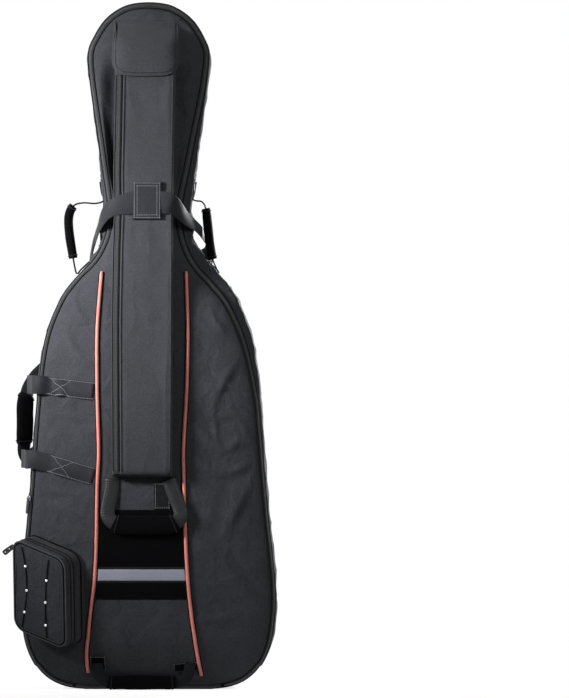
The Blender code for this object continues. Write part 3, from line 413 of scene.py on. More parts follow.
# Polypropylene webbing: ribs every 1.5 mm, drawn 4.5 mm to show, with a slight gloss on their tops
WEBBING = ClothFinish("ribbed_webbing", "#2c2d31", Pattern.RIBS, 0.6, 0.0045, 0.00012, 0.10,
                      specular=0.08)
# The same webbing where it is bent and its ribs catch the light
GLOSSY_WEBBING = ClothFinish("satin_ribbed_webbing", "#1b1c1f", Pattern.RIBS, 0.42, 0.0045, 0.00015,
                             0.10, specular=0.18)
STRAP_WEBBING = ClothFinish("light_ribbed_webbing", "#4c4d53", Pattern.RIBS, 0.55, 0.0045, 0.0002,
                            0.10, specular=0.22)
BLACK_WEBBING = ClothFinish("black_ribbed_webbing", "#161719", Pattern.RIBS, 0.62, 0.0045, 0.0002, 0.10,
                            specular=0.08)
# Grosgrain tape over the edges, matt, paler than the nylon
EDGE_TAPE = ClothFinish("grey_edge_tape", "#505157", Pattern.RIBS, 0.7, 0.0024, 0.0003, 0.08)
# Black bias tape over the seams, which reads as a dark line. The same black also draws cords of painted
# shade: beside the back piping, inside the accessory pocket's front binding and at the edge of the bow
# pocket's face
BINDING_AND_SHADE = ClothFinish("black_binding_tape", "#0d0d0f", Pattern.RIBS, 0.75, 0.0024, 0.0003, 0.08,
                      sheen=0.01, specular=0.06)
# Knitted polyester tape of the zips, flat and dull
ZIP_TAPE = ClothFinish("zip_tape", "#47484d", Pattern.RIBS, 0.8, 0.002, 0.0003, 0.08)
# Moulded nylon teeth, dyed like the tape
TEETH = ClothFinish("nylon_zip_teeth", "#4a4b50", Pattern.PLAIN, 0.5, mottle=0.05, specular=0.25)
# Nylon drawn down into a seam, where little light gets
GROOVE = ClothFinish("sewn_groove", "#1f2022", Pattern.PLAIN, 0.8, mottle=0.05)
# Coral piping: polyester satin wrapped round a cord, a little worn
PIPING = ClothFinish("coral_piping", "#ee8e82", Pattern.RIBS, 0.42, 0.0026, 0.0003, 0.10, sheen=0.2,
                     specular=0.3)
# Reflective tape: glass beads in grey resin, satin, with no grain at this distance
REFLECTIVE = ClothFinish("reflective_tape", "#9b9baa", Pattern.PLAIN, 0.5, mottle=0.05, sheen=0.0,
                         specular=0.2)
# Polyester threads of the spacer mesh, a little shiny over dark foam
MESH_THREAD = ClothFinish("mesh_thread", "#66676d", Pattern.PLAIN, 0.6, mottle=0.10)
MESH_FOAM = ClothFinish("mesh_backing_foam", "#0b0b0d", Pattern.PLAIN, 0.9, mottle=0.05, sheen=0.01,
                        specular=0.05)
# Bonded nylon thread, satin, pale where it decorates and dark elsewhere
THREAD = ClothFinish("grey_stitching", "#6d6f76", Pattern.PLAIN, 0.6, mottle=0.05)
DARK_THREAD = ClothFinish("dark_stitching", "#1c1d1f", Pattern.PLAIN, 0.6, mottle=0.05)
# Die-cast zinc with a black nickel plate, tumbled smooth
BLACK_NICKEL = HardFinish("black_nickel_plate", "#707177", 1.0, 0.24)
# Polished studs, which mirror the white room
BRIGHT_NICKEL = HardFinish("polished_nickel_studs", "#d8d8da", 1.0, 0.16, 0.04)
# Injected plastic of the pulls, black with a soft gloss
MOULDED = HardFinish("moulded_black_plastic", "#151517", 0.0, 0.42)


# Meshes


def outward(faces: list, points: Array) -> list:
    """The faces of a closed body, turned to point outwards."""
    volume = 0.0
    for face in faces:
        a = points[face[0]]
        for b, c in zip(face[1:-1], face[2:]):
            volume += float(np.dot(a, np.cross(points[b], points[c])))
    return [tuple(reversed(face)) for face in faces] if volume < 0 else faces


def body_mesh(name: str, points: Array, faces: list, finish: Finish,
              uv: Array | None = None, closed: bool = True) -> bpy.types.Object:
    """Object of one mesh in the row frame, smooth shaded.

    Args:
        name: the piece's name.
        points: its points.
        faces: its faces, as tuples of point numbers.
        finish: its finish.
        uv: width and length in metres for each point, for patterns that follow the cloth.
        closed: whether the mesh is a closed body, which is then turned to face outwards.

    Returns:
        The object, linked to the scene.
    """
    points = np.asarray(points, float).reshape(-1, 3)
    if closed:
        faces = outward(faces, points)
    mesh = bpy.data.meshes.new(name)
    mesh.from_pydata(points.tolist(), [], faces)
    mesh.polygons.foreach_set("use_smooth", [True] * len(mesh.polygons))
    if uv is not None:
        loops = np.zeros(len(mesh.loops), np.int32)
        mesh.loops.foreach_get("vertex_index", loops)
        layer = mesh.uv_layers.new(name="cloth")
        layer.data.foreach_set("uv", np.asarray(uv, np.float32).reshape(-1, 2)[loops].ravel())
    mesh.materials.append(finish.material())
    made = bpy.data.objects.new(name, mesh)
    bpy.context.scene.collection.objects.link(made)
    return made


def grid_faces(rows: int, columns: int, start: int = 0, wrap: bool = False) -> list:
    """Quads of a grid of rows by columns points, `wrap` joining the last column to the first."""
    found = []
    for i in range(rows - 1):
        for j in range(columns if wrap else columns - 1):
            k = (j + 1) % columns
            a, b = start + i * columns + j, start + i * columns + k
            found.append((a, b, b + columns, a + columns))
    return found


def rim(rows: int, columns: int) -> list:
    """Point numbers round the edge of a grid."""
    return (
        list(range(columns))
        + [i * columns + columns - 1 for i in range(1, rows)]
        + [(rows - 1) * columns + j for j in range(columns - 2, -1, -1)]
        + [i * columns for i in range(rows - 2, 0, -1)]
    )


def cloth_uv(grid: Array) -> Array:
    """Width and length in metres over a grid of cloth."""
    across = np.cumsum(np.linalg.norm(np.diff(grid, axis=1, prepend=grid[:, :1]), axis=2), axis=1)
    along = np.cumsum(np.linalg.norm(np.diff(grid, axis=0, prepend=grid[:1]), axis=2), axis=0)
    across = across - across[:, -1:] / 2
    return np.stack([across, np.broadcast_to(along.mean(axis=1, keepdims=True), across.shape)], -1)


def slab(name: str, outer: Array, inner: Array, finish: Finish) -> bpy.types.Object:
    """Closed body between two grids of points with the same rows and columns."""
    rows, columns = outer.shape[:2]
    count = rows * columns
    faces = [tuple(reversed(f)) for f in grid_faces(rows, columns)]
    faces += grid_faces(rows, columns, count)
    loop = rim(rows, columns)
    faces += [(a, b, b + count, a + count) for a, b in zip(loop, loop[1:] + loop[:1])]
    points = np.vstack([outer.reshape(-1, 3), inner.reshape(-1, 3)])
    uv = np.vstack([cloth_uv(outer).reshape(-1, 2), cloth_uv(inner).reshape(-1, 2)])
    return body_mesh(name, points, faces, finish, uv)


def frames(path: Array, out: Array | None, side: Array | None,
           closed: bool = False) -> tuple[Array, Array]:
    """Directions across and out of a path at each point.

    Args:
        path: the points.
        out: the way the piece faces, one vector or one for each point.
        side: the way it runs across, in place of `out`.
        closed: whether the last point joins the first.

    Returns:
        The across directions and the out directions.
    """
    if closed:
        along = unit(np.roll(path, -1, 0) - np.roll(path, 1, 0))
    else:
        along = unit(np.gradient(path, axis=0))
    if side is None:
        given = np.broadcast_to(out, path.shape)
        across = unit(np.cross(along, given))
        return across, unit(np.cross(across, along))
    given = np.broadcast_to(side, path.shape)
    face = unit(np.cross(given, along))
    return unit(np.cross(along, face)), face


def sweep(name: str, path: Array, profile: Array, finish: Finish,
          out: Array | None = None, side: Array | None = None, closed: bool = False,
          scale: Array | None = None) -> bpy.types.Object:
    """Profile of (across, out) pairs carried along a path, as a closed body.

    Args:
        name: the piece's name.
        path: the points of its middle.
        profile: the pairs in metres, in order round the section.
        finish: its finish.
        out: the way the profile faces.
        side: the way it runs across, in place of `out`.
        closed: whether the path is a loop.
        scale: size of the section at each point, as one number or as (width, thickness).

    Returns:
        The object.
    """
    across, face = frames(path, out, side, closed)
    profile = np.asarray(profile, float)
    size = np.ones(len(path)) if scale is None else np.asarray(scale, float)
    wide, deep = (size[:, 0], size[:, 1]) if size.ndim == 2 else (size, size)
    rings = (path[:, None] + across[:, None] * (wide[:, None] * profile[:, 0])[:, :, None]
             + face[:, None] * (deep[:, None] * profile[:, 1])[:, :, None])
    rows, sides = rings.shape[:2]
    faces = grid_faces(rows, sides, wrap=True)
    if closed:
        last = (rows - 1) * sides
        faces += [(last + s, last + (s + 1) % sides, (s + 1) % sides, s) for s in range(sides)]
    else:
        faces += [tuple(reversed(range(sides))), tuple((rows - 1) * sides + s for s in range(sides))]
    turn = np.concatenate([[0], np.cumsum(np.linalg.norm(np.diff(profile, axis=0), axis=1))])
    uv = np.stack(np.broadcast_arrays(turn[None, :], arc(path)[:, None]), -1)
    return body_mesh(name, rings.reshape(-1, 3), faces, finish, uv)


def round_section(radius: float, sides: int = 10) -> Array:
    """Section of a cord or a wire."""
    turn = np.arange(sides) * 2 * math.pi / sides
    return np.stack([radius * np.cos(turn), radius * np.sin(turn)], 1)


def web_section(width: float, thick: float, lift: float = 0.0) -> Array:
    """Section of a webbing, with its selvedges rounded."""
    a, b, e = width / 2, thick / 2, thick * 0.45
    return np.array([(-a, lift - b + e), (-a + e, lift - b), (0, lift - b), (a - e, lift - b),
                     (a, lift - b + e), (a, lift + b - e), (a - e, lift + b), (0, lift + b),
                     (-a + e, lift + b), (-a, lift + b - e)])


def pad_section(width: float, thick: float, sides: int = 28, power: float = 2.6) -> Array:
    """Section of a padded strap or grip: a full oval."""
    turn = (np.arange(sides) + 0.5) * 2 * math.pi / sides
    c, s = np.cos(turn), np.sin(turn)
    return np.stack([width / 2 * np.sign(c) * np.abs(c) ** (2 / power),
                     thick / 2 * np.sign(s) * np.abs(s) ** (2 / power)], 1)


def solidify(obj: bpy.types.Object, thick: float) -> bpy.types.Object:
    """Gives a sheet its thickness, towards its back."""
    step = obj.modifiers.new("thickness", "SOLIDIFY")
    step.thickness = thick
    step.offset = -1
    return baked(obj)


def baked(obj: bpy.types.Object) -> bpy.types.Object:
    """Turns an object with its modifiers into a plain mesh."""
    graph = bpy.context.evaluated_depsgraph_get()
    graph.update()
    mesh = bpy.data.meshes.new_from_object(obj.evaluated_get(graph))
    old = obj.data
    obj.modifiers.clear()
    obj.data = mesh
    mesh.name = obj.name
    bpy.data.meshes.remove(old)
    return obj


# Distance between points of a webbing, short enough for smooth bends
WEB_STEP = 0.004


# Geometry Nodes: small parts set on points


class PartShape(Enum):
    """Shape of a small part that is repeated."""

    BLOCK = "stitch or tooth"
    CELL = "cell of the spacer mesh"
    DOME = "domed stud"


class PartsOnPoints:
    """Sets one small shape on many points, facing out and turned along the seam."""

    def __init__(self, shape: PartShape) -> None:
        """Builds the node tree of the shape."""
        self.shape = shape
        tree = bpy.data.node_groups.new("parts_" + shape.name.lower(), "GeometryNodeTree")
        self.tree = tree
        faces = tree.interface
        faces.new_socket("Geometry", in_out="INPUT", socket_type="NodeSocketGeometry")
        self.ids = {}
        for label in ("Length", "Width", "Height"):
            socket = faces.new_socket(label, in_out="INPUT", socket_type="NodeSocketFloat")
            socket.default_value = 0.001
            self.ids[label] = socket.identifier
        socket = faces.new_socket("Finish", in_out="INPUT", socket_type="NodeSocketMaterial")
        self.ids["Finish"] = socket.identifier
        faces.new_socket("Geometry", in_out="OUTPUT", socket_type="NodeSocketGeometry")
        given = add(tree, "NodeGroupInput")
        size = add(tree, "ShaderNodeCombineXYZ", None, {
            0: given.outputs["Length"], 1: given.outputs["Width"], 2: given.outputs["Height"]})
        if shape is PartShape.BLOCK:
            part = add(tree, "GeometryNodeMeshCube", None, {"Size": size.outputs[0]})
            mesh = part.outputs["Mesh"]
        elif shape is PartShape.DOME:
            ball = add(tree, "GeometryNodeMeshUVSphere", {"Segments": 14, "Rings": 8, "Radius": 0.5})
            mesh = add(tree, "GeometryNodeTransform", None,
                       {"Geometry": ball.outputs[0], "Scale": size.outputs[0]}).outputs[0]
        else:
            ring = add(tree, "GeometryNodeCurvePrimitiveCircle", {"Resolution": 6},
                       {"Radius": given.outputs["Length"]})
            wire = add(tree, "GeometryNodeCurvePrimitiveCircle", {"Resolution": 4},
                       {"Radius": given.outputs["Width"]})
            mesh = add(tree, "GeometryNodeCurveToMesh", None,
                       {"Curve": ring.outputs[0], "Profile Curve": wire.outputs[0]}).outputs[0]
        turned = None
        for label, axis, pivot in (("out", "Z", "AUTO"), ("along", "X", "Z")):
            way = add(tree, "GeometryNodeInputNamedAttribute", {"Name": label}, data_type="FLOAT_VECTOR")
            links = {"Vector": way.outputs[0]}
            if turned:
                links["Rotation"] = turned.outputs[0]
            turned = add(tree, "FunctionNodeAlignRotationToVector", None, links, axis=axis,
                         pivot_axis=pivot)
        placed = add(tree, "GeometryNodeInstanceOnPoints", None, {
            "Points": given.outputs["Geometry"], "Instance": mesh, "Rotation": turned.outputs[0]})
        real = add(tree, "GeometryNodeRealizeInstances", None, {0: placed.outputs[0]})
        dressed = add(tree, "GeometryNodeSetMaterial", None,
                      {"Geometry": real.outputs[0], "Material": given.outputs["Finish"]})
        add(tree, "NodeGroupOutput", None, {0: dressed.outputs[0]})

    def set(self, name: str, points: Array, out: Array, along: Array, size: tuple,
            finish: Finish) -> bpy.types.Object:
        """Sets the shape on points.

        Args:
            name: the piece's name.
            points: where each part goes.
            out: the way each faces.
            along: the way its length runs.
            size: length, width and height in metres.
            finish: its finish.

        Returns:
            One object of plain mesh.
        """
        points = np.asarray(points, float).reshape(-1, 3)
        mesh = bpy.data.meshes.new(name)
        mesh.from_pydata(points.tolist(), [], [])
        for label, value in (("out", out), ("along", along)):
            held = mesh.attributes.new(label, "FLOAT_VECTOR", "POINT")
            held.data.foreach_set("vector", np.broadcast_to(value, points.shape).astype(
                np.float32).ravel())
        made = bpy.data.objects.new(name, mesh)
        bpy.context.scene.collection.objects.link(made)
        step = made.modifiers.new("parts", "NODES")
        step.node_group = self.tree
        for label, value in zip(("Length", "Width", "Height"), size):
            step[self.ids[label]] = float(value)
        step[self.ids["Finish"]] = finish.material()
        baked(made)
        if not made.data.materials:
            made.data.materials.append(finish.material())
        return made


BLOCKS = PartsOnPoints(PartShape.BLOCK)
CELLS = PartsOnPoints(PartShape.CELL)
DOMES = PartsOnPoints(PartShape.DOME)


def stitch_row(name: str, path: Array, out: Array, body: str, finish: ClothFinish = THREAD,
               pitch: float = 0.0046, size: tuple = (0.0033, 0.0012, 0.0010)) -> bpy.types.Object:
    """Row of stitches along a path.

    Args:
        name: the piece's name.
        path: the seam, on the cloth.
        out: the way the cloth faces, one vector or one for each point.
        body: the body it rides on.
        finish: the thread.
        pitch: distance from stitch to stitch.
        size: length, width and height of a stitch.

    Returns:
        The stitches as one object.
    """
    out = np.broadcast_to(out, path.shape)
    path, out = even(path, pitch, out)
    along = unit(np.gradient(path, axis=0))
    made = BLOCKS.set(name, path + unit(out) * size[2] * 0.3, out, along, size, finish)
    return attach(made, body)


def dress(piece: bpy.types.Object, body: str, slot: str = "", *nodes: str,
          bend: tuple = ()) -> bpy.types.Object:
    """Sets a finished piece on its body, in place of CAD nodes, and reports it.

    Args:
        piece: the finished object.
        body: the body it rides on.
        slot: not used.
        nodes: the CAD nodes it stands for.
        bend: if given, the piece is baked where it stands and not set on its body; what it holds is not
            used.

    Returns:
        The piece.
    """
    if bend:
        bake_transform(piece)
    else:
        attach(piece, body)
    if nodes:
        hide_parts(*nodes)
    log.info("%s: %d faces", piece.name, len(piece.data.polygons))
    return piece


def cord(name: str, path: Array, radius: float, finish: Finish, body: str, out: Array, sides: int = 8,
         slot: str = "", nodes: tuple = (), **shape: object) -> bpy.types.Object:
    """Round cord along a path, set on its body; `shape` goes to sweep()."""
    made = sweep(name, path, round_section(radius, sides), finish, out=out, **shape)
    return dress(made, body, slot, *nodes)


def tape(name: str, path: Array, size: tuple, finish: Finish, body: str, out: Array,
         slot: str = "", nodes: tuple = (), **shape: object) -> bpy.types.Object:
    """Flat tape of a width and thickness along a path, set on its body."""
    made = sweep(name, path, web_section(*size), finish, out=out, **shape)
    return dress(made, body, slot, *nodes)


# The padded body


@dataclass
class BagForm:
    """Outline and depth of the padded bag, as loops of points round it and panels between them."""

    # Half width at heights, in mm, and the depths in front and behind at heights, in metres
    outline: tuple = ((146, 0), (182, 10), (212, 33), (235, 74), (245, 118), (249, 200), (234, 356),
                      (210, 640), (179, 748), (144, 801), (101, 848), (80, 918), (94, 1035),
                      (119, 1222), (107, 1272), (81, 1311), (46, 1334))
    height: float = 1.334
    front: tuple = ((0, 0.09, 0.30, 0.56, 0.72, 0.86, 0.98, 1.22, 1.334),
                    (0.105, 0.128, 0.138, 0.134, 0.116, 0.088, 0.074, 0.070, 0.046))
    back: tuple = ((0, 0.09, 0.30, 0.56, 0.72, 0.86, 0.98, 1.22, 1.334),
                   (0.098, 0.114, 0.124, 0.122, 0.108, 0.084, 0.070, 0.064, 0.042))
    zip_inset: float = 0.006
    zip_inset_right: tuple = ((0.30, 0.56, 0.70, 0.80, 0.87, 0.96, 1.15, 1.25),
                              (0.006, 0.008, 0.020, 0.025, 0.022, 0.020, 0.009, 0.006))
    zip_reach: float = 0.0063
    padding: float = 0.014
    seam_inset: float = 0.020
    seam_share: float = 0.93
    spacing: float = 0.0055
    columns: int = 92
    corner: float = 0.014
    foot_corner: float = 0.020
    crest: float = 0.006

    def __post_init__(self) -> None:
        """Works out the loops."""
        half = curve(np.array([(w / 1000, 0, z / 1000) for w, z in self.outline]), 12)
        self.half = even(half, self.spacing)[0]
        self.rows = len(self.half) - 1
        r, c = self.rows, self.columns
        i = np.concatenate([np.zeros(c + 1), np.arange(1, r + 1), np.full(c, r),
                            np.arange(r - 1, 0, -1)]).astype(int)
        j = np.concatenate([np.arange(c + 1), np.full(r, c), np.arange(c - 1, -1, -1),
                            np.zeros(r - 1)]).astype(int)
        self.i, self.j = i, j
        # From one lower corner over the head to the other, where the zip runs
        self.turn = list(range(c, 2 * c + 2 * r)) + [0]
        edge = np.stack([self.half[i, 0] * (2 * j / c - 1), 0 * j, self.half[i, 2]], 1)
        edge[:, 2] += np.where(i == r, self.crest * (1 - (2 * j / c - 1) ** 2), 0)
        self.edge = averaged(edge, edge, self.corner + self.foot_corner * (edge[:, 2] < 0.045))
        self.edge[:, 2] = np.where(self.edge[:, 2] < 0.0006, 0.0, self.edge[:, 2])
        run = np.roll(self.edge, -1, 0) - np.roll(self.edge, 1, 0)
        inward = unit(np.stack([-run[:, 2], 0 * j, run[:, 0]], 1))
        self.inward = unit(averaged(self.edge, inward, 0.018))
        x, z = self.edge[:, 0], self.edge[:, 2]
        inset = np.where(x > 0.03, table_at(self.zip_inset_right, z), self.zip_inset)
        self.zip_line = self.ring(inset, -table_at(self.front, z)
                                  * (0.70 + 5 * (inset - self.zip_inset)))
        self.side_front = self.ring(0 * x, -0.62 * table_at(self.front, z))
        self.to_rear = unit(self.side_front - self.zip_line)
        g, n = self.to_rear, self.inward
        self.zip_out = unit(-n * g[:, 1:2] + Y * (g * n).sum(1, keepdims=True))

    def ring(self, inset: Array, depth: Array) -> Array:
        """Loop `inset` within the outline and at `depth` along Y."""
        return self.edge + self.inward * np.asarray(inset)[:, None] + Y * np.asarray(depth)[:, None]

    def back_ring(self, inset: float, share: float) -> Array:
        """Loop at a share of the back's depth."""
        z = self.edge[:, 2]
        return self.ring(np.full(len(z), inset), share * table_at(self.back, z))

    def panel(self, loop: Array, rise: float, depth: tuple) -> Array:
        """Grid of points whose edge is the loop, raised by the crown of the panel.

        Args:
            loop: the panel's edge.
            rise: share of the depth to add at the middle, towards the back.
            depth: the table of depths.

        Returns:
            Points by row and column.
        """
        r, c = self.rows, self.columns
        left = np.concatenate([[0], 2 * c + 2 * r - np.arange(1, r + 1)]).astype(int)
        right = c + np.arange(r + 1)
        share = (np.arange(c + 1) / c)[None, :, None]
        grid = loop[left][:, None] * (1 - share) + loop[right][:, None] * share
        z = grid[:, :, 2]
        grid[:, :, 1] += rise * table_at(depth, z) * self.crown(share[:, :, 0], z)
        grid[self.i, self.j] = loop
        return grid

    def crown(self, share: Array, z: Array) -> Array:
        """Share of the full rise at a share of the width and a height."""
        foot = 1 - (1 - np.clip(z / 0.11, 0, 1)) ** 2
        head = 1 - (1 - np.clip((self.height - z) / 0.09, 0, 1)) ** 2
        return (1 - np.abs(2 * share - 1) ** 2.4) * foot * head

    def inset_of(self, grid: Array) -> Array:
        """Distance of each point of a panel from the panel's edge, about."""
        wide = np.minimum(np.linalg.norm(grid - grid[:, :1], axis=2),
                          np.linalg.norm(grid - grid[:, -1:], axis=2))
        low = grid[:, :, 2] - grid[:1, :, 2]
        high = grid[-1:, :, 2] - grid[:, :, 2]
        return np.minimum(wide, np.minimum(low, high))


class Facing(Enum):
    """Which way a side of the bag faces."""

    FRONT = -1
    BACK = 1


class Surface:
    """The outside of one side of the bag, to lay pieces on."""

    def __init__(self, facing: Facing, *objects: bpy.types.Object) -> None:
        """Reads the objects' meshes into a search tree."""
        points: list = []
        faces: list = []
        for obj in objects:
            start = len(points)
            points += [v.co.copy() for v in obj.data.vertices]
            faces += [tuple(start + i for i in p.vertices) for p in obj.data.polygons]
        self.tree = BVHTree.FromPolygons(points, faces)
        self.way = float(facing.value)

    def at(self, x: float, z: float) -> tuple[Array, Array]:
        """Point of the surface at (x, z) and the way it faces there."""
        hit, normal = self.tree.ray_cast(Vector((x, self.way, z)), Vector((0, -self.way, 0)))[:2]
        if hit is None:
            hit, normal = self.tree.find_nearest(Vector((x, 0.1 * self.way, z)))[:2]
        normal = np.array(normal)
        return np.array(hit), normal if normal[1] * self.way > 0 else -normal

    def lay(self, places: Array, lift: float | Array = 0.0) -> tuple[Array, Array]:
        """Points `lift` above the surface over places.

        Args:
            places: (x, z) in metres.
            lift: one height, or one for each place.

        Returns:
            The points and the ways they face.
        """
        places = np.asarray(places, float)
        lift = np.broadcast_to(lift, len(places))
        hits = [self.at(x, z) for x, z in places]
        point = np.array([h[0] for h in hits])
        normal = unit(np.array([h[1] for h in hits]))
        return point + normal * lift[:, None], normal


@dataclass
class PaddedBody:
    """Rear tub and front cover of the bag, with the zip between them."""

    form: BagForm
    tooth_pitch: float = 0.0030
    tooth: tuple = (0.0014, 0.0030, 0.0022)
    cord_radius: float = 0.0012
    piping_radius: float = 0.0026
    tape_thick: float = 0.0016
    # Ridges of the soft folds that the hanging cloth shows, as (x1, z1, x2, z2, reach, height)
    cover_folds: tuple = (
        (88, 520, 145, 470, 16, 3.2), (145, 470, 176, 488, 12, 2.4), (88, 452, 150, 422, 14, 2.8),
        (150, 422, 198, 446, 15, 3.0), (185, 520, 212, 488, 10, 2.4), (88, 300, 150, 268, 20, 2.8),
        (176, 640, 128, 556, 18, 2.8), (128, 556, 140, 478, 14, 2.0), (95, 138, 172, 146, 22, 2.6),
        (110, 600, 186, 590, 14, 1.8), (200, 400, 150, 300, 24, 3.0), (150, 240, 215, 180, 26, 3.0),
        (-208, 650, -190, 612, 10, 2.6), (-180, 606, -140, 560, 13, 2.6), (-178, 540, -124, 534, 12, 2.0),
        (-232, 400, -124, 382, 15, 3.0), (-212, 384, -132, 330, 16, 3.0), (-160, 700, -120, 640, 15, 2.2),
        (-200, 500, -150, 470, 12, 2.0), (-110, 120, -160, 60, 20, 2.6), (20, 120, 60, 60, 24, 2.0),
        (-60, 140, -30, 70, 22, 2.0), (-150, 780, -128, 730, 12, 2.2), (120, 740, 160, 690, 14, 2.4),
        (-68, 1270, -100, 1238, 9, -3.4), (-88, 1286, -60, 1308, 12, 1.6), (84, 1262, 92, 1180, 12, 1.4),
    )

    # Valleys of the back's creases beside the straps, in the same order
    back_folds: tuple = (
        (166, 350, 214, 388, 11, 2.6), (160, 292, 224, 312, 11, 2.6), (156, 236, 214, 206, 12, 2.4),
        (-166, 340, -216, 362, 11, 2.4), (-158, 268, -220, 248, 12, 2.4), (-150, 560, -196, 604, 13, 2.2),
        (150, 610, 198, 570, 12, 2.4), (170, 470, 214, 440, 12, 2.4), (-168, 180, -206, 140, 12, 2.2),
        (60, 880, 92, 850, 12, 1.8), (-62, 890, -96, 862, 12, 1.8), (120, 760, 150, 730, 12, 2.0),
    )

    def cover(self) -> bpy.types.Object:
        """The front cover, padded, with its soft folds."""
        form = self.form
        edge = form.zip_line - form.to_rear * form.zip_reach
        inside = edge - form.zip_out * form.padding
        outer = form.panel(edge, -0.28, form.front)
        inner = form.panel(inside, -0.28, form.front)
        d = form.inset_of(outer)
        x, z = outer[:, :, 0], outer[:, :, 2]
        puff = 0.0030 * (1 - np.exp(-d / 0.010)) * (1 - 0.75 * ramp(d, 0.02, 0.09))
        held = ramp(d, 0.004, 0.045)
        # Slanted folds run down the right side, and shallower ones across the left
        slant = np.stack([x + 0.55 * z, 0 * x, z - 0.35 * x], -1)
        right = ramp(x, 0.075, 0.12) * (1 - 0.6 * ramp(z, 0.75, 0.85))
        left = ramp(-x, 0.10, 0.13)
        soft = creases(slant, (0.16, 1.0, 0.075), 11) * (0.0020 * right + 0.0026 * left)
        soft += creases(outer, (0.09, 1.0, 0.13), 23) * 0.0010
        # Beside the bow pocket in the neck the cloth sinks into two long pleats
        neck = ramp(z, 0.92, 1.02) * (1 - ramp(z, 1.170, 1.262))
        pleat = ramp(x, -0.100, -0.064) * (x < 0) + 0.40 * ramp(-x, -0.082, -0.052) * (x > 0)
        sink = -0.024 * neck * pleat * ramp(d, 0.0, 0.014)
        outer[:, :, 1] -= puff + held * (soft + 1.5 * folds(outer, self.cover_folds)) + sink
        inner[:, :, 1] -= sink
        made = slab("front_cover_shell", outer, inner, NYLON)
        dress(made, "cover", "nylon", "front_cover")
        return made

    def tub(self) -> bpy.types.Object:
        """The rear tub: back panel and gusset with the lining inside."""
        form = self.form
        controls = [
            (form.zip_line + form.to_rear * form.zip_reach, 4),
            (form.side_front, 30),
            (form.back_ring(0.0, 0.75), 5),
            (form.back_ring(0.005, 0.86), 6),
            (form.back_ring(form.seam_inset, form.seam_share), 0),
        ]
        loops = []
        for (a, count), (b, _) in zip(controls, controls[1:]):
            loops += [a + (b - a) * k / count for k in range(count)]
        loops.append(controls[-1][0])
        rings = np.array(loops)
        # Roundness at the long edges, folds across the gusset, stronger in the neck
        depth = np.cumsum(np.linalg.norm(np.diff(rings, axis=0, prepend=rings[:1]), axis=2), axis=0)
        whole = depth[-1:]
        held = ramp(depth, 0.0, 0.016) * ramp(whole - depth, 0.002, 0.016)
        z = rings[:, :, 2]
        x = rings[:, :, 0]
        foot = ramp(z, 0.03, 0.12)
        neck = bell(z, 0.87, 0.10)
        side = np.abs(form.inward[:, 0])[None, :]
        where = np.stack([0 * x + np.sign(x) * 0.3, rings[:, :, 1] * 0.5, z], -1)
        fold = creases(where, (1.0, 0.10, 0.055), 31) * (0.0018 + 0.0074 * neck)
        fold += creases(where, (1.0, 0.05, 0.022), 37) * (0.0007 + 0.0044 * neck)
        bulge = 0.0022 * np.sin(math.pi * np.clip(depth / whole, 0, 1)) * side
        full = 0.010 * bell(z, 0.915, 0.080) * (x < 0)
        move = held * (fold * foot * side + bulge * foot + full * side)
        rings = rings - form.inward[None] * move[:, :, None]
        rings[:, :, 2] = np.maximum(rings[:, :, 2], 0.0)
        back = form.panel(controls[-1][0], 0.07, form.back)
        d = form.inset_of(back)
        bx, bz = back[:, :, 0], back[:, :, 2]
        puff = 0.0030 * (1 - np.exp(-d / 0.008)) * (1 - ramp(d, 0.012, 0.05))
        soft = creases(back, (0.11, 1.0, 0.08), 41) * 0.0030 * ramp(d, 0.01, 0.05)
        calm = ramp(np.abs(bx), 0.10, 0.15) + ramp(bz, 0.80, 0.85) * 0.25
        dents = folds(back, self.back_folds) * ramp(d, 0.004, 0.020)
        back[:, :, 1] += puff + soft * np.clip(calm, 0, 1) - dents
        lining = form.back_ring(form.seam_inset + 0.006, form.seam_share) - Y * form.padding
        inner_back = form.panel(lining, 0.07, form.back)
        inner = [form.zip_line + form.to_rear * form.zip_reach - form.zip_out * form.padding,
                 form.back_ring(form.padding, 0.62), lining]
        points, faces, uv = [], [], []
        start = 0
        rims = []
        for grid, rows in ((back, rings), (inner_back, np.array(inner))):
            r, c = grid.shape[:2]
            flipped = grid is inner_back
            sheet = grid_faces(r, c, start)
            faces += sheet if not flipped else [tuple(reversed(f)) for f in sheet]
            points.append(grid.reshape(-1, 3))
            uv.append(cloth_uv(grid).reshape(-1, 2))
            last = start + form.i * c + form.j
            start += r * c
            along = arc(np.vstack([rows[0], rows[0][:1]]))[:-1]
            run = 0.0
            for k in range(len(rows) - 2, -1, -1):
                here = start + np.arange(len(form.i))
                run += float(np.linalg.norm(rows[k + 1] - rows[k], axis=1).mean())
                points.append(rows[k])
                uv.append(np.stack([np.full(len(along), run), along], 1))
                ring = [(int(a), int(b), int(d2), int(c2)) for a, b, c2, d2 in zip(
                    last, np.roll(last, -1), here, np.roll(here, -1))]
                faces += [tuple(reversed(f)) for f in ring] if not flipped else ring
                last = here
                start += len(here)
            rims.append(last)
        a, b = rims
        faces += [(int(p), int(q), int(s), int(r)) for p, q, r, s in zip(
            a, np.roll(a, -1), b, np.roll(b, -1))]
        shape = np.vstack(points)
        made = body_mesh("rear_shell_tub", shape, faces, NYLON, np.vstack(uv), closed=False)
        work = bmesh.new()
        work.from_mesh(made.data)
        bmesh.ops.recalc_face_normals(work, faces=work.faces)
        work.to_mesh(made.data)
        work.free()
        dress(made, "bag_body", "nylon", "rear_shell")
        return made

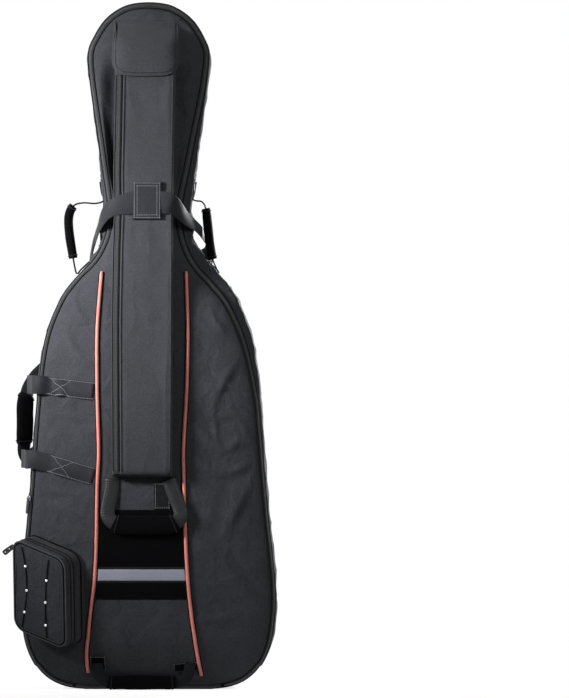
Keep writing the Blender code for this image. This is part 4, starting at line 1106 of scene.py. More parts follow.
    def zip(self) -> None:
        """Two tapes with their teeth, a black cord along each, and the sewn foot."""
        form = self.form
        line, rear, out = (q[form.turn] for q in (form.zip_line, form.to_rear, form.zip_out))
        line[0] = line[0] + unit(line[1] - line[0]) * 0.004
        line[-1] = line[-1] + unit(line[-2] - line[-1]) * 0.004
        for name, body, sign, node in (("zip_rear", "bag_body", 1, "zip_half_rear"),
                                       ("zip_cover", "cover", -1, "zip_half_cover")):
            width = form.zip_reach - 0.0006
            middle = line + rear * sign * (width / 2 + 0.0003)
            tape(name + "_tape", middle, (width, self.tape_thick), ZIP_TAPE, body, out, "zip_tape", (node,))
            at, way, facing = even(line, self.tooth_pitch, rear, out)
            along = unit(np.gradient(at, axis=0))
            shift = self.tooth_pitch / 2 if sign > 0 else 0
            places = at + way * sign * 0.0012 + facing * 0.0010 + along * shift
            dress(BLOCKS.set(name + "_teeth", places, facing, along, self.tooth, TEETH), body)
            edge = line + rear * sign * (form.zip_reach + 0.0002) + out * 0.0006
            cord(name + "_cord", edge, self.cord_radius, BINDING_AND_SHADE, body, out)
        foot = even(form.zip_line[1:form.columns], 0.006)[0]
        n = form.columns // 2
        hinge = sweep("foot_seam_tape", foot, web_section(2 * form.zip_reach, 0.0018), WEBBING,
                      out=form.zip_out[n])
        middle, reach = form.zip_line[n], form.to_rear[n] * form.zip_reach
        dress(hinge, "cover", "nylon", "foot_hinge_tape", bend=("bag_body", middle + reach, middle - reach))

    def back_piping(self) -> None:
        """Cloth-covered cord along the seam of the back panel, with black cords beside it, one of them
        painted shade.
        """
        form = self.form
        seam = form.back_ring(form.seam_inset, form.seam_share)
        out = unit(np.broadcast_to(Y, seam.shape) - form.inward * 0.35)
        turn = form.turn
        # back_seam_shadow is a black cord of painted shade beside the piping
        for name, push, radius, finish in (("back_seam_piping", 0.0, self.piping_radius, NYLON_PLAIN),
                                           ("back_seam_shadow", -0.0048, 0.0016, BINDING_AND_SHADE),
                                           ("back_seam_edge", 0.0046, 0.0014, BINDING_AND_SHADE)):
            path = seam + form.inward * push + out * 0.0012
            path = path[turn] if push else path
            cord(name, path, radius, finish, "bag_body", out[turn] if push else out, closed=not push)


@dataclass
class SewnPatch:
    """Flat piece sewn on one side of the bag: corners are (x, z) in mm, from the lower left."""

    name: str
    corners: tuple
    thick: float
    finish: ClothFinish
    body: str
    slot: str
    nodes: tuple = ()
    soft: float = 0.004
    spacing: float = 0.005
    rough: float = 0.0
    seed: int = 3
    stitched: tuple = ()
    sunk: float = 0.0015

    def quad(self) -> list:
        """The corners in metres."""
        return [mm(*p) for p in self.corners]

    def span(self) -> tuple[float, float]:
        """Width and height, each the mean of two sides."""
        a, b, c, d = self.quad()
        norm = np.linalg.norm
        return (norm(b - a) + norm(c - d)) / 2, (norm(d - a) + norm(c - b)) / 2

    def place(self, u: Array, v: Array) -> Array:
        """(x, z) at shares of the width and the height."""
        a, b, c, d = self.quad()
        u, v = np.asarray(u)[..., None], np.asarray(v)[..., None]
        return (a * (1 - u) + b * u) * (1 - v) + (d * (1 - u) + c * u) * v

    def build(self, surface: Surface) -> bpy.types.Object:
        """Lays the patch on a surface and sews its edges.

        Args:
            surface: what it is sewn to.

        Returns:
            The patch.
        """
        wide, tall = self.span()
        edge = np.array([0, 0.15, 0.4, 0.7, 1.0]) * self.soft
        stops = []
        for length in (wide, tall):
            count = max(3, round((length - 2 * self.soft) / self.spacing))
            inner = np.linspace(self.soft, length - self.soft, count + 1)
            stops.append(np.concatenate([edge[:-1], inner, length - edge[-2::-1]]) / length)
        u, v = np.meshgrid(stops[0], stops[1])
        near = np.minimum(np.minimum(u, 1 - u) * wide, np.minimum(v, 1 - v) * tall)
        rise = self.thick * (0.25 + 0.75 * np.sqrt(ramp(near, -self.soft * 0.4, self.soft)))
        places = self.place(u, v).reshape(-1, 2)
        point, normal = surface.lay(places)
        rise = rise.reshape(-1)
        if self.rough:
            rise = rise + self.rough * creases(point, (0.08, 1.0, 0.05), self.seed) * ramp(
                near.reshape(-1), 0, 0.02)
        shape = (*u.shape, 3)
        made = slab(self.name, (point + normal * rise[:, None]).reshape(shape),
                    (point - normal * self.sunk).reshape(shape), self.finish)
        dress(made, self.body, self.slot, *self.nodes)
        for k, (inset, sides) in enumerate(self.stitched):
            self.seams(surface, inset, sides, k)
        return made

    def seams(self, surface: Surface, inset: float, sides: str, number: int) -> None:
        """Rows of stitches at an inset from the edges named by b, t, l and r.

        Args:
            surface: what the patch is sewn to.
            inset: distance from the edge.
            sides: which edges, any of "btlr".
            number: the row's number, for its name.
        """
        iu, iv = (inset / length for length in self.span())
        t = np.linspace(0, 1, 60)
        zero = 0 * t
        u, v = iu + (1 - 2 * iu) * t, iv + (1 - 2 * iv) * t
        rows = {"b": (u, zero + iv), "t": (u, zero + 1 - iv), "l": (zero + iu, v), "r": (zero + 1 - iu, v)}
        for side in sides:
            u, v = rows[side]
            point, normal = surface.lay(self.place(u, v), self.thick)
            stitch_row(f"{self.name}_stitch_{number}{side}", point, normal, self.body)


@dataclass
class BowPocket:
    """Raised pocket down the middle of the front, its zip and the flap over its mouth."""

    heights: tuple = (0.417, 0.56, 0.72, 0.86, 0.93, 1.00, 1.20, 1.254)
    left: tuple = (-0.069, -0.070, -0.071, -0.069, -0.0665, -0.068, -0.064, -0.062)
    right: tuple = (0.047, 0.048, 0.0485, 0.049, 0.0480, 0.049, 0.0525, 0.0515)
    face: tuple = (-0.171, -0.167, -0.149, -0.123, -0.112, -0.107, -0.106, -0.103)
    strip: float = 0.0165
    corner: float = 0.012
    thick: float = 0.0016
    flap_low: float = 1.199
    flap_high: float = 1.2995
    flap_left: float = -0.0695
    flap_right: float = 0.0600
    flap_corner: float = 0.027
    flap_thick: float = 0.0040

    def section(self) -> tuple[Array, Array, Array]:
        """Across the pocket: share of the width, distance in metres to add to it, depth behind."""
        c, s = self.corner, self.strip
        left = [(0, 0.0000, 0.0200), (0, 0.0000, 0.0110), (0, 0.0008, 0.0062), (0, 0.0030, 0.0038),
                (0, 0.0060, 0.0030), (0, s - 0.0035, 0.0030), (0, s - 0.0012, 0.0028),
                (0, s - 0.0002, 0.0010), (0, s + 0.0014, 0.0000), (0, s + 0.0060, 0.0006)]
        middle = [(k / 16, (s + 0.006) * (1 - k / 16) - c * 0.9 * k / 16, 0.0004) for k in range(1, 16)]
        right = [(1, -c * 0.9, 0.0002), (1, -c * 0.45, 0.0008), (1, -c * 0.16, 0.0026),
                 (1, -0.0004, 0.0058), (1, 0.0, 0.0105), (1, 0.0, 0.0200)]
        knots = np.array(left + middle + right)
        found = curve(knots, 3)
        return found[:, 0], found[:, 1], found[:, 2]

    def place(self, z: Array, row: tuple) -> Array:
        """A row of the pocket's tables at heights."""
        return np.interp(z, self.heights, row)

    def build(self, front: Surface) -> bpy.types.Object:
        """The pocket on the front cover."""
        low, high = self.heights[0], self.heights[-1]
        z = np.concatenate([[low - 0.0015, low, low + 0.0006, low + 0.002, low + 0.0045, low + 0.008],
                            np.linspace(low + 0.013, high, 150)])
        share, plus, behind = self.section()
        left, right = self.place(z, self.left), self.place(z, self.right)
        x = left[:, None] + (right - left)[:, None] * share[None] + plus[None]
        zz = np.broadcast_to(z[:, None], x.shape)
        end = np.clip(self.corner - (z - low), 0, self.corner)
        tuck = self.corner - np.sqrt(np.maximum(self.corner**2 - end**2, 0))
        y = self.place(z, self.face)[:, None] + np.maximum(behind[None], 0)
        y = y + tuck[:, None]
        # The cloth of the face sags a little between the hems and gathers under the neck strap
        where = np.stack([x, 0 * x, zz], -1)
        inner = ramp(x - left[:, None], 0.018, 0.030) * ramp(right[:, None] - x, 0.003, 0.014)
        soft = creases(where, (0.05, 1.0, 0.16), 51) * 0.0011
        soft += creases(np.stack([x + 0.6 * zz, 0 * x, zz], -1), (0.05, 1, 0.05), 53) * 0.0012 * (
            bell(zz, 0.895, 0.05) + 0.8 * bell(zz, 0.46, 0.05) + 0.2)
        crown = 0.0018 * np.sin(math.pi * np.clip((x - left[:, None]) / (right - left)[:, None], 0, 1))
        y = y - inner * (soft + crown * 0.6)
        hits = np.array([[front.at(float(a), float(b))[0][1] for a in (row[0], row[-1])]
                         for row, b in zip(x, z)])
        foot = hits[:, :1] * (1 - share[None]) + hits[:, 1:] * share[None] + 0.004
        deep = np.array([front.at(float(a), low)[0][1] for a in x[0]]) + 0.004
        y[:, 0], y[:, -1] = foot[:, 0], foot[:, -1]
        y[:, 1] = np.minimum(y[:, 1], foot[:, 0])
        y[:, -2] = np.minimum(y[:, -2], foot[:, -1])
        y[0], y[1] = deep, np.minimum(y[1] + 0.006, deep)
        grid = np.stack([x, y, zz], -1)
        faces = [tuple(f) for f in grid_faces(*grid.shape[:2])]
        made = body_mesh("bow_pocket_cloth", grid.reshape(-1, 3), faces, NYLON_PLAIN,
                         cloth_uv(grid), closed=False)
        solidify(made, self.thick)
        dress(made, "cover", "nylon", "bow_pocket")
        self.hems(front)
        return made

    def hems(self, front: Surface) -> None:
        """Zip with its tape and teeth, dark cords of painted shade in the folds beside it, and the hems
        that run beside it and down the other edge.
        """
        z = np.linspace(self.heights[0] + 0.010, 1.196, 140)
        left, right = self.place(z, self.left), self.place(z, self.right)
        y = self.place(z, self.face)
        line = np.stack([left + 0.0092, y + 0.0030 - 0.0008, z], 1)
        tape("bow_zip_tape", line, (0.0090, 0.0014), ZIP_TAPE, "cover", -Y, "zip_tape", ("bow_pocket_zip",))
        at = even(line, 0.0026)[0]
        along = unit(np.gradient(at, axis=0))
        teeth = BLOCKS.set("bow_zip_teeth", at - Y * 0.0011, -Y, along, (0.0013, 0.0040, 0.0014), TEETH)
        dress(teeth, "cover")
        # The black cord at the right of the zip strip is the painted shadow of the face's edge; the one at
        # its left is darkened as painted shade in its fold
        for name, x, back, radius, finish in (
            ("bow_zip_fold_left", left + 0.0022, 0.0040, 0.0011, GROOVE),
            ("bow_zip_fold_right", left + self.strip - 0.0014, 0.0028, 0.0012, BINDING_AND_SHADE),
            ("bow_face_hem", left + self.strip + 0.0020, -0.0001, 0.0009, NYLON_PLAIN),
            ("bow_face_hem_right", right - 0.0042, 0.0003, 0.0009, NYLON_PLAIN),
        ):
            path = np.stack([x, y + back - 0.0004, z], 1)
            cord(name, path, radius, finish, "cover", -Y, 6)
        low = np.linspace(0, 1, 24)
        x = self.place(self.heights[0], self.left) + 0.004 + low * 0.108
        path = np.stack([x, 0 * x + self.place(self.heights[0], self.face) + 0.0062,
                         0 * x + self.heights[0] + 0.0028 - 0.001 * np.sin(math.pi * low)], 1)
        cord("bow_pocket_lower_hem", path, 0.0014, BINDING_AND_SHADE, "cover", -Z, 6)

    def flap_outline(self, inset: float) -> tuple[Array, Array]:
        """(s, t) places round the free edge of the flap, from its left top to its right top."""
        wide, tall = self.flap_right - self.flap_left, self.flap_high - self.flap_low
        r = self.flap_corner
        turn = np.linspace(0, math.pi / 2, 12)
        left = [(inset, h) for h in np.linspace(tall, r, 14)]
        left += [(r - (r - inset) * math.cos(a), r - (r - inset) * math.sin(a)) for a in turn[1:]]
        bottom = [(d, inset) for d in np.linspace(r, wide - r, 16)[1:-1]]
        right = [(wide - p, q) for p, q in reversed(left)]
        path = np.array(left + bottom + right)
        return path[:, 0] / wide, path[:, 1] / tall

    def flap_point(self, s: Array, t: Array, lift: float = 0.0) -> Array:
        """Point of the flap at shares of its width and height."""
        s, t = np.asarray(s, float), np.asarray(t, float)
        z = self.flap_low + (self.flap_high - self.flap_low) * t
        z = z - 0.0040 * (1 - (2 * s - 1) ** 2) * (1 - t) ** 2
        x = self.flap_left + 0.004 * t + (self.flap_right - self.flap_left - 0.008 * t) * s
        y = np.interp(z, self.heights, self.face) - self.flap_thick - 0.0010
        side = np.abs(2 * s - 1)
        y = y + 0.0120 * side**7 - 0.0016 * (1 - side**2)
        root = ramp(t, 0.55, 1.0)
        y = y * (1 - root) + root * (self.seat[0] + (self.seat[1] - self.seat[0]) * side**2)
        return np.stack([x, y - lift, z], -1)

    def flap(self, front: Surface) -> None:
        """Padded flap over the mouth, bound round its edge and sewn on along its top."""
        self.seat = (float(front.at(0.0, self.flap_high)[0][1]) - 0.0028,
                     float(front.at(self.flap_left + 0.006, self.flap_high)[0][1]) - 0.0022)
        wide = self.flap_right - self.flap_left
        tall = self.flap_high - self.flap_low
        v = np.linspace(0, 1, 44) ** 1.25
        u = 0.5 - 0.5 * np.cos(np.linspace(0, math.pi, 56))
        t = v[:, None] * np.ones_like(u)
        d = t * tall
        r = self.flap_corner
        cut = np.where(d < r, r - np.sqrt(np.maximum(r * r - (r - d) ** 2, 0)), 0.0) / wide
        s = cut + (1 - 2 * cut) * u[None]
        top = self.flap_point(s, t)
        under = self.flap_point(s, t, -self.flap_thick)
        near = np.minimum(np.minimum(s, 1 - s) * wide, d)
        puff = 0.0010 * (1 - np.exp(-near / 0.004))
        top[:, :, 1] -= puff + 0.0006 * creases(top, (0.06, 1, 0.05), 61)
        made = slab("bow_pocket_flap_cloth", top, under, NYLON_PLAIN)
        dress(made, "bow_flap", "nylon", "bow_pocket_flap")
        edge = self.flap_point(*self.flap_outline(0.0)) + Y * self.flap_thick * 0.45
        cord("bow_flap_binding", edge, 0.0023, NYLON_PLAIN, "bow_flap", -Y)
        groove = self.flap_point(*self.flap_outline(0.0046), 0.0008)
        cord("bow_flap_groove", groove, 0.0006, GROOVE, "bow_flap", -Y, 6)
        x = np.linspace(self.flap_left - 0.001, self.flap_right + 0.001, 40)
        seam, out = front.lay(np.stack([x, 0 * x + self.flap_high + 0.0060], 1), 0.0004)
        tape("bow_flap_seam", seam, (0.0042, 0.0012), NYLON_PLAIN, "cover", out)


@dataclass
class FrontTrim:
    """Coral pipings, the black panel between them and its reflective stripe."""

    left: tuple = ((-90, 812), (-98, 700), (-98, 583), (-95, 466), (-98, 392), (-100, 280),
                   (-104, 209), (-112, 146), (-119, 70), (-116, 36))
    right: tuple = ((73, 812), (77, 700), (75, 583), (69, 470), (70, 400), (73, 300), (77, 220),
                    (84, 150), (94, 80), (103, 30))
    radius: float = 0.0034

    def build(self, front: Surface) -> None:
        """Lays the trim on the cover."""
        panel = SewnPatch("lower_panel_cloth", ((-101, 177), (76, 177), (68, 351), (-95, 351)), 0.0020,
                          BLACK, "cover", "deep_nylon", ("lower_front_panel",), 0.002).build(front)
        on_panel = Surface(Facing.FRONT, panel)
        SewnPatch("stripe_border", ((-98, 209), (75, 209), (70, 240), (-96, 240)), 0.0013,
                  BLACK_WEBBING, "cover", "webbing", (), 0.001).build(on_panel)
        SewnPatch("stripe_cloth", ((-97, 213.5), (74, 213.5), (71, 235.5), (-96, 235.5)), 0.0022,
                  REFLECTIVE, "cover", "reflective_cloth", ("reflective_stripe",), 0.001).build(on_panel)
        for side, table in (("left", self.left), ("right", self.right)):
            places = even(curve(np.array(table, float) / 1000, 8), 0.006)[0]
            path, out = front.lay(places, 0.0)
            tape(f"piping_{side}_seam", path + out * 0.0006, (0.0112, 0.0018), BINDING_AND_SHADE, "cover", out)
            end = np.minimum(1, 0.7 + arc(path) / 0.012)
            cord(f"piping_{side}_cord", path + out * self.radius * 0.85, self.radius, PIPING, "cover", out,
                 12, "piping", (f"piping_{side}",), scale=end)


@dataclass
class AccessoryPocket:
    """Boxed pocket at the lower left, turned outwards, with its zip, cords and studs."""

    corner: tuple = (-262, -139, 296)
    across: tuple = (102, -34, -42)
    down: tuple = (3, 0, -174)
    back: tuple = (32, 40, 10)
    radius: float = 0.021
    reach: float = 0.062
    stud: float = 0.0062
    # Each face cord as (s, t) places from its top, with the studs at the middle three
    cords: tuple = (((0.175, 0.95), (0.25, 0.75), (0.268, 0.485), (0.215, 0.232), (0.16, 0.05)),
                    ((0.69, 0.93), (0.655, 0.69), (0.628, 0.44), (0.622, 0.185), (0.635, 0.05)))

    def __post_init__(self) -> None:
        """Works out the directions of the pocket's box."""
        self.origin = mm(*self.corner)
        self.a, self.d, self.b = mm(*self.across), mm(*self.down), mm(*self.back)
        self.out = unit(np.cross(self.d, self.a))
        self.out = self.out if self.out[1] < 0 else -self.out
        self.inward = unit(self.b)

    def at(self, s: Array, t: Array, back: Array = 0.0) -> Array:
        """Point at shares across and up, `back` metres behind the face."""
        s, t, back = (np.asarray(q, float)[..., None] for q in (s, t, back))
        return self.origin + self.a * s + self.d * (1 - t) + self.inward * back

    def outline(self, inset: float, count: int = 96) -> tuple[Array, Array]:
        """(s, t) round the face, `inset` metres inside its edge."""
        wide, tall = np.linalg.norm(self.a), np.linalg.norm(self.d)
        r = max(self.radius - inset, 0.002)
        corners = [(wide - inset - r, tall - inset - r, 0), (inset + r, tall - inset - r, 90),
                   (inset + r, inset + r, 180), (wide - inset - r, inset + r, 270)]
        path = []
        for cx, cy, start in corners:
            for k in range(13):
                turn = math.radians(start + 90 * k / 12)
                path.append((cx + r * math.cos(turn), cy + r * math.sin(turn), 0))
        path = np.array(path + path[:1])
        round_ = arc(path)
        at = np.linspace(0, round_[-1], count, endpoint=False)
        x, y = np.interp(at, round_, path[:, 0]), np.interp(at, round_, path[:, 1])
        return x / wide, y / tall

    def loop(self, inset: float, back: float) -> Array:
        """Points round the pocket."""
        s, t = self.outline(inset)
        return self.at(s, t, np.full(len(s), back))

    def outwards(self, path: Array) -> Array:
        """Ways from the pocket's middle axis to points round it."""
        away = path - self.at(0.5, 0.5, 0.0)
        return unit(away - self.inward * (away @ self.inward)[:, None])

    def build(self) -> None:
        """The pocket and everything on it."""
        rings = [self.loop(i, b) for i, b in (
            (0.000, self.reach), (-0.0004, 0.046), (-0.0010, 0.036), (-0.0006, 0.030), (0.0, 0.0262),
            (0.0016, 0.0250), (0.0016, 0.0170), (0.0, 0.0158), (-0.0008, 0.011), (-0.0004, 0.005),
            (0.0002, 0.0018), (0.0022, 0.0002), (0.0050, 0.0006), (0.0085, -0.0006))]
        base = rings[-1]
        middle = base.mean(axis=0)
        for k in range(1, 12):
            share = 1 - k / 12
            bulge = -0.0040 * (1 - share**2)
            rings.append(middle + (base - middle) * share + self.inward * bulge)
        grid = np.array(rings)
        fold = creases(grid, (0.03, 0.03, 0.05), 71) * 0.0010
        keep = np.ones(len(grid))
        keep[[0, 4, 5, 6, 7, 10, 11]] = 0
        grid = grid + self.out * (fold * keep[:, None])[:, :, None]
        rows, sides = grid.shape[:2]
        faces = grid_faces(rows, sides, wrap=True)
        points = np.vstack([grid.reshape(-1, 3), [middle + self.inward * -0.0042], [rings[0].mean(0)]])
        tip, root = rows * sides, rows * sides + 1
        last = (rows - 1) * sides
        faces += [(last + k, last + (k + 1) % sides, tip) for k in range(sides)]
        faces += [((k + 1) % sides, k, root) for k in range(sides)]
        flat = points - self.origin
        uv = np.stack([flat @ unit(self.a), flat @ unit(self.d)], 1)
        made = body_mesh("accessory_pocket_cloth", points, faces, NYLON, uv)
        dress(made, "cover", "nylon", "accessory_pocket")
        self.edges()
        self.face_cords()

    def edges(self) -> None:
        """Bound edges with a black cord of painted shade inside the front binding, and the zip round three
        sides of the wall.
        """
        # accessory_front_shadow is a black cord of painted shade just inside the front binding
        for name, inset, back, radius, finish in (
            ("accessory_front_binding", 0.0006, 0.0012, 0.0017, EDGE_TAPE),
            ("accessory_front_shadow", 0.0034, -0.0002, 0.0010, BINDING_AND_SHADE),
            ("accessory_front_line", 0.0060, -0.0004, 0.0008, EDGE_TAPE),
            ("accessory_zip_edge_front", -0.0004, 0.0156, 0.0012, BLACK_WEBBING),
            ("accessory_zip_edge_back", -0.0004, 0.0262, 0.0012, BLACK_WEBBING),
            ("accessory_back_binding", -0.0010, 0.0465, 0.0019, BINDING_AND_SHADE),
        ):
            path = self.loop(inset, back)
            cord(name, path, radius, finish, "cover", self.outwards(path), closed=True)
        path = self.loop(0.0010, 0.0208)
        out = self.outwards(path)
        tape("accessory_zip_tape", path, (0.0086, 0.0014), ZIP_TAPE, "cover", out, "zip_tape",
             ("accessory_zip",), closed=True)
        ring = np.vstack([path, path[:1]])
        at, facing = even(ring, 0.0028, np.vstack([out, out[:1]]))
        along = unit(np.gradient(at, axis=0))
        teeth = BLOCKS.set("accessory_zip_teeth", at + facing * 0.0012, facing, along,
                           (0.0014, 0.0040, 0.0016), TEETH)
        dress(teeth, "cover")

    def face_cords(self) -> None:
        """Two black cords up the face, drawn through six domed studs."""
        number = 0
        for k, knots in enumerate(self.cords):
            path = self.proud(curve(np.array(knots), 8), 0.0010)
            cord(f"face_cord_{k + 1}", path, 0.0012, BINDING_AND_SHADE, "cover", self.out)
            for place in knots[1:-1]:
                number += 1
                point = self.proud(np.array([place]), 0.0016)
                made = DOMES.set(f"domed_stud_{number}", point, self.out, Z,
                                 (self.stud, self.stud, 0.0042), BRIGHT_NICKEL)
                for face in made.data.polygons:
                    face.use_smooth = True
                dress(made, "cover", "bright_metal", f"stud_{number}")

    def proud(self, places: Array, lift: float) -> Array:
        """Points `lift` above the bulged face at (s, t) places."""
        s, t = places[:, 0], places[:, 1]
        wide, tall = np.linalg.norm(self.a), np.linalg.norm(self.d)
        near = np.minimum(np.minimum(s, 1 - s) * wide, np.minimum(t, 1 - t) * tall)
        bulge = 0.0040 * (1 - (1 - np.clip(near / (wide / 2), 0, 1)) ** 2)
        return self.at(s, t, 0 * s) + self.out * (lift + bulge)[:, None]


@dataclass
class Handle:
    """Webbing loop with a padded grip: both ends are sewn to the bag."""

    name: str
    body: str
    root: str
    path: Array
    grip: tuple
    width: float
    grip_size: tuple
    out: Array | None = None
    side: Array | None = None
    thick: float = 0.0022
    finish: ClothFinish = WEBBING
    slack: float = 0.03
    sewn: float = 0.008

    def build(self) -> None:
        """Two runs of webbing that bend at their sewn ends, and the grip between them."""
        given = self.side if self.out is None else self.out
        given = np.broadcast_to(given, self.path.shape)
        path, given = even(self.path, WEB_STEP, given)
        length = arc(path)
        low, high = self.grip[0] * length[-1], self.grip[1] * length[-1]
        middle = int(np.searchsorted(length, (low + high) / 2))
        key = "side" if self.out is None else "out"
        for part, pick in (("first", slice(0, middle + 1)), ("second", slice(middle, None))):
            run = path[pick]
            strap = sweep(f"{self.name}_webbing_{part}", run, web_section(self.width, self.thick),
                          self.finish, **{key: given[pick]})
            ends = (run[0], run[-1]) if part == "first" else (run[-1], run[0])
            reach = unit(ends[1] - ends[0])
            bend = (self.root, ends[0] + reach * self.sewn, ends[0] + reach * (self.sewn + self.slack))
            nodes = (f"{self.name}_strap",) if part == "first" else ()
            dress(strap, self.body, "webbing", *nodes, bend=bend)
        self.sleeve(path, given, length, low, high)

    def sleeve(self, path: Array, given: Array, length: Array, low: float, high: float) -> None:
        """The padded sleeve, fuller in its middle, with a seam and puckers along it."""
        at = np.linspace(low, high, 60)
        line = np.stack([np.interp(at, length, path[:, i]) for i in range(3)], 1)
        ways = np.stack([np.interp(at, length, given[:, i]) for i in range(3)], 1)
        share = (at - low) / (high - low)
        scale = 0.93 + 0.07 * np.sin(math.pi * share) ** 0.5
        scale *= 1 + 0.022 * np.array([lattice(np.array([a * 90, 3.3, 1.1]), 81) for a in at])
        key = {"side" if self.out is None else "out": ways}
        grip = sweep(f"{self.name}_grip_pad", line, pad_section(*self.grip_size), BLACK,
                     scale=scale, **key)
        dress(grip, self.body, "deep_nylon", f"{self.name}_grip")
        across, face = frames(line, None if self.out is None else ways,
                              ways if self.out is None else None)
        for k, n in enumerate((3, -4)):
            mid, a, f = line[n], across[n], face[n]
            section = pad_section(self.grip_size[0] * 0.985, self.grip_size[1], 24)
            loop = mid + a * section[:, :1] + f * section[:, 1:]
            cord(f"{self.name}_cuff_{k + 1}", loop, 0.0011, BLACK_WEBBING, self.body, unit(loop - mid), 6,
                 closed=True)


